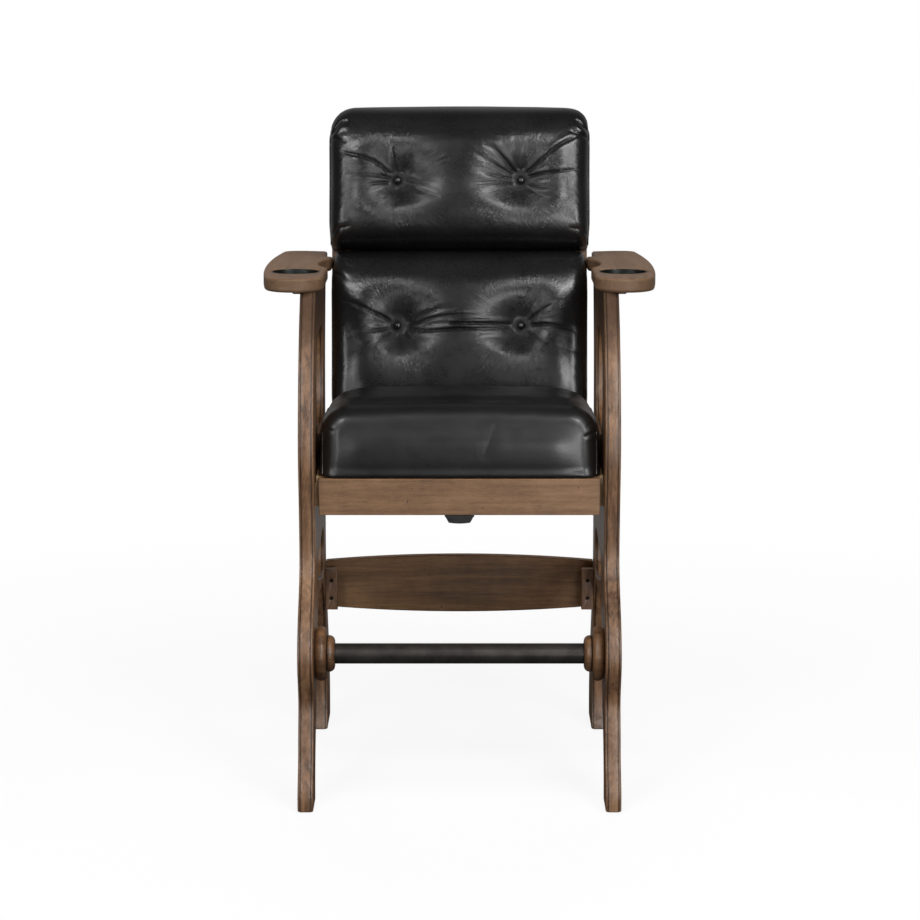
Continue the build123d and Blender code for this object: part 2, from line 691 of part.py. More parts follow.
def back_button(tie_length):
    """Covered button on the origin, facing +Z, with its tie and the washer at the tie's far end."""
    dome_radius = (button_radius ** 2 + button_height ** 2) / (2 * button_height)
    half_angle = math.asin(button_radius / dome_radius) / 2
    shoulder = (dome_radius * math.sin(half_angle), button_height - dome_radius * (1 - math.cos(half_angle)))
    plate_top = -tie_length
    plate_bottom = plate_top - button_plate_thickness
    dome = ThreePointArc((0, button_height), shoulder, (button_radius, 0))
    outline = Polyline(
        (button_radius, 0), (button_stem_radius, 0), (button_stem_radius, plate_top),
        (button_plate_radius, plate_top), (button_plate_radius, plate_bottom), (0, plate_bottom),
        (0, button_height),
    )
    return revolve(Plane.XZ * Face(Wire([dome] + outline.edges())), axis=Axis.Z)


def back_buttons():
    """Four covered buttons, each with its tie through the cushion and a washer behind the panel."""
    seat_out = back_cushion_total() - tuft_depth + tuft_rim + hole_clearance
    button = back_button(seat_out + back_panel_thickness)
    buttons = []
    for rise in button_rises:
        for side in (-1, 1):
            origin = back_place(side * button_spread, rise, seat_out)
            buttons.append(Plane(origin=origin, x_dir=(1, 0, 0), z_dir=back_normal) * button)
    return buttons


def right_upright():
    """Upright of the back: a leaning post with a straight foot that bolts to the rear rail."""
    foot_bottom = rail_top - rear_rail_height
    rear_knee = back_place(0, back_bottom_rise, -upright_depth)
    points = [
        (0, seat_rear_y, foot_bottom), (0, seat_rear_y, deck_height), back_place(0, back_bottom_rise, 0),
        back_place(0, back_frame_top, 0), back_place(0, back_frame_top, -upright_depth), rear_knee,
        (0, seat_rear_y + upright_depth, rail_top), (0, seat_rear_y + upright_depth, foot_bottom),
    ]
    outer = inner_x - upright_side_gap
    profile = Face(Wire(Polyline(*points, close=True).edges()))
    post = extrude(Pos(outer - upright_width, 0, 0) * profile, amount=upright_width, dir=(1, 0, 0))
    for place in back_bolt_places():
        post = post - hole(place, (0, -1, 0), bolt_radius, upright_depth + overrun)
    return post


def back_bolt_places():
    """Bolts from behind the right upright's foot into the rear rail."""
    middle = rail_top - rear_rail_height / 2
    x = inner_x - upright_side_gap - upright_width / 2
    y = seat_rear_y + upright_depth
    return [(x, y, middle + side * back_bolt_spread / 2) for side in (-1, 1)]


def back_slab(half_width, rise_from, rise_to, out_from, out_to):
    """Leaning board parallel to the back."""
    origin = back_place(0, (rise_from + rise_to) / 2, (out_from + out_to) / 2)
    plane = Plane(origin=origin, x_dir=(1, 0, 0), z_dir=back_normal)
    return plane * Box(2 * half_width, rise_to - rise_from, out_to - out_from)


def back_cross_rail(rise):
    """Cross rail between the uprights."""
    half = inner_x - upright_side_gap - upright_width
    return back_slab(half, rise, rise + cross_rail_width, -upright_depth, -back_panel_thickness)


def back_panel():
    """Plywood panel between the uprights, behind the back cushions."""
    half = inner_x - upright_side_gap - upright_width
    panel = back_slab(half, back_bottom_rise, back_frame_top, -back_panel_thickness, 0)
    for rise in button_rises:
        for side in (-1, 1):
            base = back_place(side * button_spread, rise, 0)
            panel = panel - rod(base, back_inward, button_stem_radius + hole_clearance, back_panel_thickness)
    return panel


def back_cover():
    """Covered panel that closes the rear of the back."""
    rear = -upright_depth
    half = inner_x - upright_side_gap
    cover = back_slab(half, back_bottom_rise + cover_edge_gap, back_frame_top, rear - cover_thickness, rear)
    corners = cover.edges().filter_by(lambda edge: abs(edge.length - cover_thickness) < hole_clearance)
    return fillet(corners, cover_thickness)


def drawer_front():
    """Drawer front, the flat board under the seat."""
    half = inner_x - drawer_front_side_gap
    front = block((-half, half), (seat_front_y, drawer_back_y), (drawer_front_bottom, drawer_front_top))
    return fillet(front.faces().sort_by(Axis.Y)[0].edges(), drawer_edge_radius)


def right_drawer_side():
    """Drawer side with a groove for its runner."""
    side = block(
        (box_half_width - drawer_side_thickness, box_half_width),
        (drawer_back_y, drawer_back_y + drawer_length),
        (box_bottom, box_bottom + drawer_side_height),
    )
    groove = block(
        (box_half_width - runner_entry - runner_clearance, box_half_width + overrun),
        (rail_front_y - runner_clearance, drawer_back_y + drawer_length + overrun),
        (runner_bottom - runner_clearance, runner_bottom + runner_height + runner_clearance),
    )
    return side - groove


def right_drawer_runner():
    """Runner on the seat rail that the drawer side slides along."""
    return block(
        (box_half_width - runner_entry, rail_inner_x),
        (rail_front_y, rail_rear_y),
        (runner_bottom, runner_bottom + runner_height),
    )


def drawer_back():
    """Back of the drawer box."""
    half = box_half_width - drawer_side_thickness
    rear = drawer_back_y + drawer_length
    return block(
        (-half, half), (rear - drawer_side_thickness, rear), (box_bottom, box_bottom + drawer_side_height)
    )


def drawer_bottom():
    """Bottom of the drawer box, inside its sides."""
    half = box_half_width - drawer_side_thickness
    return block(
        (-half, half), (drawer_back_y, drawer_back_y + drawer_length - drawer_side_thickness),
        (box_bottom, box_bottom + drawer_bottom_thickness),
    )


def drawer_pull():
    """Black finger pull: a tapered lip below the drawer front, on a flange under the front's edge."""
    top = drawer_front_bottom
    lip_plane = Plane(origin=(0, seat_front_y + drawer_edge_radius, 0), x_dir=(1, 0, 0), z_dir=(0, -1, 0))
    bow = ThreePointArc(
        (pull_bottom_width / 2, top - pull_drop + pull_thickness / 2), (0, top - pull_drop),
        (-pull_bottom_width / 2, top - pull_drop + pull_thickness / 2),
    )
    left = Line(bow @ 1, (-pull_top_width / 2, top))
    ridge = Line(left @ 1, (pull_top_width / 2, top))
    right = Line(ridge @ 1, bow @ 0)
    lip = extrude(lip_plane * Face(Wire([bow, left, ridge, right])), amount=-pull_thickness)
    flange = block(
        (-pull_top_width / 2, pull_top_width / 2),
        (seat_front_y + drawer_edge_radius, seat_front_y + drawer_edge_radius + pull_flange_depth),
        (top - pull_thickness, top),
    )
    return lip + flange


def both_sides(places, direction, build):
    """Fasteners on both sides, from places on the right side."""
    pieces = []
    for x, y, z in places:
        for side in (-1, 1):
            pieces.append(build((side * x, y, z), (side * direction[0], direction[1], direction[2])))
    return pieces


def floor_glides():
    """Four round glides with their pins."""
    glides = []
    for x, y, _ in glide_places:
        for side in (-1, 1):
            pad = rod((side * x, y, 0), (0, 0, 1), glide_radius, sole_height)
            pad = fillet(pad.edges().sort_by(Axis.Z)[0], glide_rounding)
            pin = rod((side * x, y, sole_height), (0, 0, 1), glide_pin_radius, glide_pin_length)
            glides.append(pad + pin)
    return glides


def build_nodes():
    """Every node of the stool by name, each one solid or a list of like solids."""
    nodes = {
        "right_side_frame": right_side_frame(),
        "right_armrest": right_armrest(),
        "right_armrest_cleat": right_arm_cleat(),
        "right_cup_insert": right_cup_insert(),
        "right_footrest_rosette": right_rosette(),
        "right_stretcher_block": right_stretcher_block(),
        "right_seat_rail": right_seat_rail(),
        "right_drawer_runner": right_drawer_runner(),
        "right_drawer_side": right_drawer_side(),
        "right_back_upright": right_upright(),
    }
    for name in list(nodes):
        nodes[name.replace("right_", "left_", 1)] = mirrored(nodes[name])
    plug = right_tube_plug()
    panel_and_rail = panel_thickness + bolt_grip
    through_rosette = panel_thickness + rosette_thickness + collar_thickness - socket_depth + bolt_grip
    nodes.update({
        "footrest_tube": footrest_tube(),
        "footrest_tube_plugs": [plug, mirrored(plug)],
        "rear_stretcher": rear_stretcher(),
        "rear_seat_rail": rear_seat_rail(),
        "seat_deck": seat_deck(),
        "seat_cushion": seat_cushion(),
        "back_panel": back_panel(),
        "back_cover": back_cover(),
        "back_top_rail": back_cross_rail(back_frame_top - cross_rail_width),
        "back_middle_rail": back_cross_rail(lower_cushion_length),
        "back_lower_rail": back_cross_rail(back_bottom_rise + cross_rail_width / 2),
        "upper_back_cushion": upper_back_cushion(),
        "lower_back_cushion": lower_back_cushion(),
        "back_buttons": back_buttons(),
        "drawer_front": drawer_front(),
        "drawer_back": drawer_back(),
        "drawer_bottom": drawer_bottom(),
        "drawer_pull": drawer_pull(),
        "seat_frame_bolts": both_sides(
            seat_bolt_places, (-1, 0, 0), lambda at, way: frame_bolt(at, way, panel_and_rail)),
        "footrest_bolts": both_sides(
            [footrest_bolt_place], (-1, 0, 0), lambda at, way: frame_bolt(at, way, through_rosette)),
        "stretcher_bolts": both_sides(
            stretcher_bolt_places, (-1, 0, 0), lambda at, way: frame_bolt(at, way, panel_and_rail)),
        "stretcher_block_screws": both_sides(
            block_screw_places, (0, 1, 0),
            lambda at, way: wood_screw(at, way, block_depth - counterbore_depth + screw_grip)),
        "armrest_screws": both_sides(
            cleat_screw_places, (0, 0, 1), lambda at, way: wood_screw(at, way, cleat_height + screw_grip)),
        "deck_screws": both_sides(
            [(x, y, z - screw_head_height) for x, y, z in deck_screw_places], (0, 0, -1),
            lambda at, way: wood_screw(at, way, deck_thickness - screw_head_height + screw_grip)),
        "back_frame_bolts": both_sides(
            back_bolt_places(), (0, -1, 0), lambda at, way: frame_bolt(at, way, upright_depth + bolt_grip)),
        "floor_glides": floor_glides(),
    })
    return nodes


def main():
    """Builds the stool and writes one file for each node."""
    os.makedirs("parts", exist_ok=True)
    for name, shape in build_nodes().items():
        solids = shape if isinstance(shape, list) else [shape]
        whole = Compound(children=[solid for item in solids for solid in item.solids()])
        export_step(whole, f"parts/{name}.step")
        print(name, len(whole.solids()), round(whole.volume))


main()
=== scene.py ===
"""Looks of the spectator bar stool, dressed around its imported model.

The stool has two shaped side boards, broad armrests with cup wells, a deep leather seat, a back in two
tufted leather rolls, a shallow drawer under the seat and a metal footrest. All sizes are in metres, apart
from the folds of the leather, which are in millimetres.
"""
import logging
import math
from dataclasses import dataclass, field
from enum import Enum

import bpy
import numpy as np
from mathutils import Matrix, Vector
from mathutils.bvhtree import BVHTree


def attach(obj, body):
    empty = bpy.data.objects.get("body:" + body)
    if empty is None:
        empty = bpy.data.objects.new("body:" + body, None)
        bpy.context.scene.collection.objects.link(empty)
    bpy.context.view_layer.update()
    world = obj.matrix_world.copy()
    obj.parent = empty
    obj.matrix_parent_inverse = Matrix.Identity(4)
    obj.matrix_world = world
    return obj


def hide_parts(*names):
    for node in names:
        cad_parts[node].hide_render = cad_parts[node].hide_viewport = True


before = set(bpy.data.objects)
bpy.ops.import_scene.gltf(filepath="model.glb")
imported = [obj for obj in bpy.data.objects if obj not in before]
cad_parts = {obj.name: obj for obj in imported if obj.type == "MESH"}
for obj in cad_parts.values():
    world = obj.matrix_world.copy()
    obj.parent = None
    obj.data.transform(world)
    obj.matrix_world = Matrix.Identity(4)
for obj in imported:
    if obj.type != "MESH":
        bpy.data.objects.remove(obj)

LOG = logging.getLogger("bar_stool")
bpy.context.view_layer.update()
STOOL = "stool"
DRAWER = "drawer"
MM = 0.001
MERGE_DISTANCE = 0.00001
LARGE_FACES_FIRST = 100
SIDES = (("left", -1.0), ("right", 1.0))
BUTTON_SPREAD = 0.122
LOWER_BUTTONS_RISE = 0.2225
UPPER_BUTTONS_RISE = 0.5095

Colour = tuple[float, float, float]
Point = tuple[float, float, float]
Place = tuple[float, float]


def shade(colour: Colour, factor: float) -> Colour:
    """Darkens or lightens a colour."""
    return tuple(channel * factor for channel in colour)


def grey(tone: float) -> tuple[float, float, float, float]:
    """A grey, from 0 for black to 1 for white."""
    return (tone, tone, tone, 1.0)


class Signal:
    """A shader socket whose maths is written with Python operators."""

    def __init__(self, recipe: "Recipe", socket: bpy.types.NodeSocket) -> None:
        """Wraps a socket."""
        self.recipe = recipe
        self.socket = socket

    def _combine(self, operation: str, first: "Term", second: "Term") -> "Signal":
        """Adds one Math node."""
        return self.recipe.signal("ShaderNodeMath", {"operation": operation}, {0: first, 1: second})

    def __add__(self, other: "Term") -> "Signal":
        """Sum."""
        return self._combine("ADD", self, other)

    def __radd__(self, other: "Term") -> "Signal":
        """Sum with the signal on the right."""
        return self._combine("ADD", other, self)

    def __sub__(self, other: "Term") -> "Signal":
        """Difference."""
        return self._combine("SUBTRACT", self, other)

    def __rsub__(self, other: "Term") -> "Signal":
        """Difference with the signal on the right."""
        return self._combine("SUBTRACT", other, self)

    def __mul__(self, other: "Term") -> "Signal":
        """Product."""
        return self._combine("MULTIPLY", self, other)

    def __rmul__(self, other: "Term") -> "Signal":
        """Product with the signal on the right."""
        return self._combine("MULTIPLY", other, self)

    def __abs__(self) -> "Signal":
        """Size without its sign."""
        return self._combine("ABSOLUTE", self, 0.0)

    def higher(self, other: "Term") -> "Signal":
        """The larger of two values."""
        return self._combine("MAXIMUM", self, other)

    def step(self, low: float, high: float) -> "Signal":
        """Smooth step from 0 at one value to 1 at another.

        Args:
            low: value at which the result is 0.
            high: value at which the result is 1.

        Returns:
            The stepped signal.
        """
        settings = {"interpolation_type": "SMOOTHSTEP", "clamp": True}
        if low <= high:
            ends = {"From Min": low, "From Max": high, "To Min": 0.0, "To Max": 1.0}
        else:
            ends = {"From Min": high, "From Max": low, "To Min": 1.0, "To Max": 0.0}
        return self.recipe.signal("ShaderNodeMapRange", settings, {"Value": self, **ends})


Term = Signal | float
Feed = Signal | float | tuple | bpy.types.NodeSocket


class Recipe:
    """Node tree of one finish, or of the studio's world."""

    def __init__(self, owner: bpy.types.Material | bpy.types.World, coordinate: str = "Object") -> None:
        """Empties the node tree of a new material or world.

        Args:
            owner: the material or world.
            coordinate: the texture coordinate that its patterns read.
        """
        owner.use_nodes = True
        self.owner = owner
        self.tree = owner.node_tree
        self.tree.nodes.clear()
        self.place = self.signal("ShaderNodeTexCoord", output=coordinate)

    def node(self, kind: str, settings: dict | None = None, inputs: dict | None = None) -> bpy.types.Node:
        """Adds a node of any type.

        Args:
            kind: the node's type.
            settings: its properties, with "stops" for a colour ramp's places and colours.
            inputs: values or links of its sockets, by name or number.

        Returns:
            The new node.
        """
        made = self.tree.nodes.new(kind)
        for key, value in (settings or {}).items():
            if key == "stops":
                ramp = made.color_ramp
                while len(ramp.elements) < len(value):
                    ramp.elements.new(0.5)
                for element, (place, colour) in zip(ramp.elements, value):
                    element.position = place
                    element.color = (*colour, 1.0)
            else:
                setattr(made, key, value)
        for key, value in (inputs or {}).items():
            self.feed(made.inputs[key], value)
        return made

    def feed(self, socket: bpy.types.NodeSocket, value: Feed) -> None:
        """Links or sets one input socket.

        Args:
            socket: the input socket.
            value: a signal, an output socket, or a plain value.
        """
        if isinstance(value, Signal):
            self.tree.links.new(value.socket, socket)
        elif isinstance(value, bpy.types.NodeSocket):
            self.tree.links.new(value, socket)
        else:
            socket.default_value = value

    def signal(self, kind: str, settings: dict | None = None, inputs: dict | None = None,
               output: int | str = 0) -> Signal:
        """Adds a node and gives one of its outputs."""
        return Signal(self, self.node(kind, settings, inputs).outputs[output])

    def mix(self, factor: Term, first: Feed, second: Feed) -> Signal:
        """Mixes two colours.

        Args:
            factor: share of the second colour.
            first: first colour.
            second: second colour.

        Returns:
            The mixed colour.
        """
        settings = {"data_type": "RGBA", "blend_type": "MIX", "clamp_factor": True}
        full = [(*c, 1.0) if isinstance(c, tuple) and len(c) == 3 else c for c in (first, second)]
        return self.signal("ShaderNodeMix", settings, {0: factor, 6: full[0], 7: full[1]}, 2)

    def along(self, axis: str) -> Signal:
        """Place along one axis, which is named X, Y or Z."""
        return self.signal("ShaderNodeSeparateXYZ", inputs={"Vector": self.place}, output=axis)

    def seen_rays(self) -> tuple[Signal, Signal]:
        """Tells apart the rays that show the background.

        Returns:
            Rays of the camera or through glass, and rays that a glossy surface mirrors.
        """
        path = self.node("ShaderNodeLightPath").outputs
        direct = Signal(self, path["Is Camera Ray"]).higher(Signal(self, path["Is Transmission Ray"]))
        return direct, Signal(self, path["Is Glossy Ray"])

    def stretched(self, scale: Point, shift: Point = (0.0, 0.0, 0.0)) -> Signal:
        """Object coordinates multiplied along each axis."""
        inputs = {"Vector": self.place, "Scale": scale, "Location": shift}
        return self.signal("ShaderNodeMapping", inputs=inputs)

    def noise(self, vector: Signal, scale: float = 1.0, detail: float = 2.0, roughness: float = 0.5,
              distortion: float = 0.0) -> Signal:
        """Noise pattern.

        Args:
            vector: coordinates.
            scale: scale of the pattern.
            detail: octaves.
            roughness: weight of the finer octaves.
            distortion: how far the pattern is warped.

        Returns:
            Values about 0.5.
        """
        inputs = {"Vector": vector, "Scale": scale, "Detail": detail, "Roughness": roughness,
                  "Distortion": distortion}
        return self.signal("ShaderNodeTexNoise", inputs=inputs)

    def bump(self, height: Signal, strength: float, distance: float) -> Signal:
        """Bumped normal."""
        inputs = {"Height": height, "Strength": strength, "Distance": distance}
        return self.signal("ShaderNodeBump", inputs=inputs)

    def finish(self, inputs: dict) -> bpy.types.Material:
        """Closes the material with a Principled shader.

        Args:
            inputs: values or links of the shader's sockets.

        Returns:
            The material.
        """
        shader = self.node("ShaderNodeBsdfPrincipled", inputs=inputs)
        self.node("ShaderNodeOutputMaterial", inputs={"Surface": shader.outputs[0]})
        return self.owner


class Grain(Enum):
    """Axis that a wooden piece's fibres follow."""

    ACROSS = 0
    DEPTH = 1
    UPRIGHT = 2


@dataclass(frozen=True)
class Wood:
    """Wood with fibres, pores and, where it is stained, dark glaze and painted shade in its corners."""

    name: str
    grain: Grain
    light: Colour
    middle: Colour
    dark: Colour
    shift: Point = (0.0, 0.0, 0.0)
    glaze_and_shade: float = 0.75
    figure: float = 1.0
    contrast: float = 1.0
    fleck: float = 0.0
    painted_shade_top: bool = False
    lines: tuple[float, ...] = ()
    roughness: float = 0.44
    specular: float = 0.55
    lacquer: float = 0.5
    glaze_and_shade_reach: float = 0.008
    painted_shade_heights: Place = (0.78, 0.90)
    line_halves: Place = (0.0024, 0.0006)

    def fibres(self, recipe: Recipe, across: float, along: float) -> Signal:
        """Coordinates drawn out along the fibres.

        Args:
            recipe: the finish in the making.
            across: scale across the fibres, per metre.
            along: scale along the fibres, per metre.

        Returns:
            The coordinates.
        """
        scale = [across, across, across]
        scale[self.grain.value] = along
        return recipe.stretched(tuple(scale), self.shift)

    def glazed_and_shaded(self, recipe: Recipe, colour: Signal) -> Signal:
        """Leaves dark glaze and painted shade in the corners, and dark scattered spots.

        Args:
            recipe: the finish in the making.
            colour: the colour without its glaze.

        Returns:
            The glazed colour.
        """
        # Painted shade: ambient occlusion darkens the corners and recesses, standing for the glaze there and
        # for the shade that falls there.
        near = recipe.signal("ShaderNodeAmbientOcclusion", {"samples": 6, "only_local": True},
                             {"Distance": self.glaze_and_shade_reach}, "AO")
        corner = near.step(0.92, 0.55)
        colour = recipe.mix(corner * self.glaze_and_shade, colour, shade(self.dark, 0.30))
        spot = recipe.noise(recipe.stretched((120.0, 120.0, 75.0), self.shift), detail=2.0, roughness=0.45)
        return recipe.mix(spot.step(0.71, 0.77) * 0.85, colour, shade(self.dark, 0.35))

    def lined(self, recipe: Recipe, colour: Signal, mottle: Signal) -> Signal:
        """Draws the dark lines that the glaze leaves along the beads of a side board's edges.

        Args:
            recipe: the finish in the making.
            colour: the colour without the lines.
            mottle: pattern that breaks the lines up.

        Returns:
            The colour with the lines.
        """
        aside = abs(recipe.along("X"))
        for line in self.lines:
            drawn = abs(aside - line).step(*self.line_halves)
            colour = recipe.mix(drawn * (0.35 + mottle * 0.65), colour, shade(self.dark, 0.3))
        return colour

    def build(self) -> bpy.types.Material:
        """Makes the material.

        Returns:
            The material.
        """
        recipe = Recipe(bpy.data.materials.new(self.name))
        # From broad changes of tone to fine pores, drawn out along the fibres.
        tone = recipe.noise(self.fibres(recipe, 9.0, 2.2), detail=3.0, roughness=0.55)
        streak = recipe.noise(self.fibres(recipe, 85.0, 5.0), detail=5.0, roughness=0.62, distortion=0.5)
        fine = recipe.noise(self.fibres(recipe, 420.0, 20.0), detail=3.0, roughness=0.6)
        pore = recipe.noise(self.fibres(recipe, 1150.0, 55.0), detail=1.0)
        rings = recipe.signal(
            "ShaderNodeTexWave",
            {"wave_type": "RINGS", "rings_direction": "SPHERICAL", "wave_profile": "SAW"},
            {"Vector": self.fibres(recipe, 9.0, 1.1), "Scale": 4.0, "Distortion": 5.0, "Detail": 3.0,
             "Detail Scale": 1.2, "Detail Roughness": 0.6})
        mottle = recipe.noise(recipe.stretched((34.0, 34.0, 34.0), self.shift), detail=3.0, roughness=0.6)
        # Each pattern lies about 0.5, so the sum wavers about 0.
        waver = ((streak - 0.5) * 0.75 + (tone - 0.5) * 0.7 + (fine - 0.5) * 0.42 + (mottle - 0.5) * 0.3
                 + (rings - 0.5) * (0.10 * self.figure))
        stops = [(0.22, self.dark), (0.50, self.middle), (0.74, self.light)]
        colour = recipe.signal("ShaderNodeValToRGB", {"stops": stops}, {"Fac": waver * self.contrast + 0.5})
        pits = pore.step(0.40, 0.30)
        colour = recipe.mix(pits * 0.55, colour, self.dark)
        if self.fleck:
            ray = recipe.noise(self.fibres(recipe, 560.0, 95.0), detail=2.0, distortion=0.6)
            colour = recipe.mix(ray.step(0.53, 0.66) * self.fleck, colour, self.light)
        if self.glaze_and_shade:
            colour = self.glazed_and_shaded(recipe, colour)
        shade_and_dull: Term = 0.0
        # Painted shade: upright pieces grow darker and lose their lacquer towards the top, where the armrests
        # shade them.
        if self.painted_shade_top:
            shade_and_dull = recipe.along("Z").step(*self.painted_shade_heights)
            colour = recipe.mix(shade_and_dull * 0.85, colour, shade(self.dark, 0.6))
        if self.lines:
            colour = self.lined(recipe, colour, mottle)
        relief = fine * 0.5 + pits * -0.8 + streak * 0.25
        return recipe.finish({
            "Base Color": colour,
            "Roughness": self.roughness + (fine - 0.5) * 0.18 + pits * 0.2 + shade_and_dull * 0.3,
            "Specular IOR Level": self.specular,
            "Coat Weight": (1.0 - shade_and_dull) * self.lacquer,
            "Coat Roughness": 0.40,
            "Normal": recipe.bump(relief, strength=0.35, distance=0.0004),
        })


@dataclass(frozen=True)
class Leather:
    """Black leather with a fine grain, and stretch lines that run out from the buttons."""

    name: str
    colour: Colour = (0.0052, 0.0052, 0.0055)
    pit_shade: Colour = (0.001, 0.001, 0.001)
    roughness: float = 0.28
    pulls: tuple[Point, ...] = ()

    def build(self) -> bpy.types.Material:
        """Makes the material.

        Returns:
            The material.
        """
        recipe = Recipe(bpy.data.materials.new(self.name))
        pebble = recipe.signal(
            "ShaderNodeTexVoronoi", {"feature": "SMOOTH_F1"},
            {"Vector": recipe.place, "Scale": 620.0, "Smoothness": 0.6, "Randomness": 1.0}, "Distance")
        soft = recipe.noise(recipe.place, scale=150.0, detail=3.0, roughness=0.6)
        broad = recipe.noise(recipe.place, scale=22.0, detail=3.0, roughness=0.55)
        cloud = recipe.noise(recipe.place, scale=7.0, detail=2.0)
        relief = pebble * 0.35 + soft * 0.9 + broad * 1.6
        shade_and_dull: Term = 0.0
        for centre in self.pulls:
            away = recipe.signal("ShaderNodeVectorMath", {"operation": "SUBTRACT"},
                                 {0: recipe.place, 1: centre})
            span = recipe.signal("ShaderNodeVectorMath", {"operation": "LENGTH"}, {0: away}, "Value")
            way = recipe.signal("ShaderNodeVectorMath", {"operation": "NORMALIZE"}, {0: away})
            rays = recipe.noise(way, scale=24.0, detail=3.0, roughness=0.65)
            relief = relief + rays * span.step(0.012, 0.040) * span.step(0.160, 0.050) * 11.0
            shade_and_dull = span.step(0.028, 0.013).higher(shade_and_dull)
        colour = recipe.mix(cloud.step(0.35, 0.7), shade(self.colour, 0.8), shade(self.colour, 1.25))
        # Painted shade: next to each button, deep in its tuft, the leather is darkened nearly to black and
        # made rougher.
        if self.pulls:
            colour = recipe.mix(shade_and_dull * 0.8, colour, self.pit_shade)
        return recipe.finish({
            "Base Color": colour,
            "Roughness": self.roughness + (broad - 0.5) * 0.22 + (pebble - 0.4) * 0.08 + shade_and_dull * 0.4,
            "Specular IOR Level": 0.6,
            "Coat Weight": 0.24,
            "Coat Roughness": 0.2,
            "Normal": recipe.bump(relief, strength=0.5, distance=0.0003),
        })


@dataclass(frozen=True)
class Metal:
    """Metal with fine drawn lines and faint stains."""

    name: str
    colour: Colour
    roughness: float
    metallic: float = 1.0
    lines: Point = (40.0, 900.0, 900.0)

    def build(self) -> bpy.types.Material:
        """Makes the material.

        Returns:
            The material.
        """
        recipe = Recipe(bpy.data.materials.new(self.name))
        drawn = recipe.noise(recipe.stretched(self.lines), detail=2.0)
        stain = recipe.noise(recipe.place, scale=26.0, detail=3.0, roughness=0.55)
        return recipe.finish({
            "Base Color": recipe.mix(stain.step(0.3, 0.7), shade(self.colour, 0.78), shade(self.colour, 1.2)),
            "Roughness": self.roughness + (stain - 0.5) * 0.16 + (drawn - 0.5) * 0.1,
            "Metallic": self.metallic,
            "Normal": recipe.bump(drawn, strength=0.12, distance=0.0001),
        })


@dataclass(frozen=True)
class Plastic:
    """Moulded plastic with a fine matt texture."""

    name: str
    colour: Colour
    roughness: float = 0.45

    def build(self) -> bpy.types.Material:
        """Makes the material.

        Returns:
            The material.
        """
        recipe = Recipe(bpy.data.materials.new(self.name))
        texture = recipe.noise(recipe.place, scale=2200.0, detail=2.0)
        haze = recipe.noise(recipe.place, scale=60.0, detail=2.0)
        return recipe.finish({
            "Base Color": recipe.mix(haze, shade(self.colour, 0.85), shade(self.colour, 1.2)),
            "Roughness": self.roughness + (haze - 0.5) * 0.15,
            "Normal": recipe.bump(texture, strength=0.2, distance=0.0001),
        })


@dataclass(frozen=True)
class BackPlane:
    """Leaning plane of the back, with x, rise along it and out in front of its panel."""

    origin: Point = (0.0, 0.1995, 0.5975)
    lean: float = math.radians(11.5)

    def axes(self) -> np.ndarray:
        """Rows that are the x, rise and out directions."""
        sine, cosine = math.sin(self.lean), math.cos(self.lean)
        return np.array([[1.0, 0.0, 0.0], [0.0, sine, cosine], [0.0, -cosine, sine]])

    def local(self, points: np.ndarray) -> np.ndarray:
        """Turns places of the frame into x, rise and out."""
        return (points - np.array(self.origin)) @ self.axes().T

    def world(self, points: np.ndarray) -> np.ndarray:
        """Turns x, rise and out into places of the frame."""
        return points @ self.axes() + np.array(self.origin)


def bell(gap: np.ndarray, width: float | np.ndarray) -> np.ndarray:
    """Bell curve that is 1 where the gap is 0."""
    return np.exp(-(gap / width) ** 2)


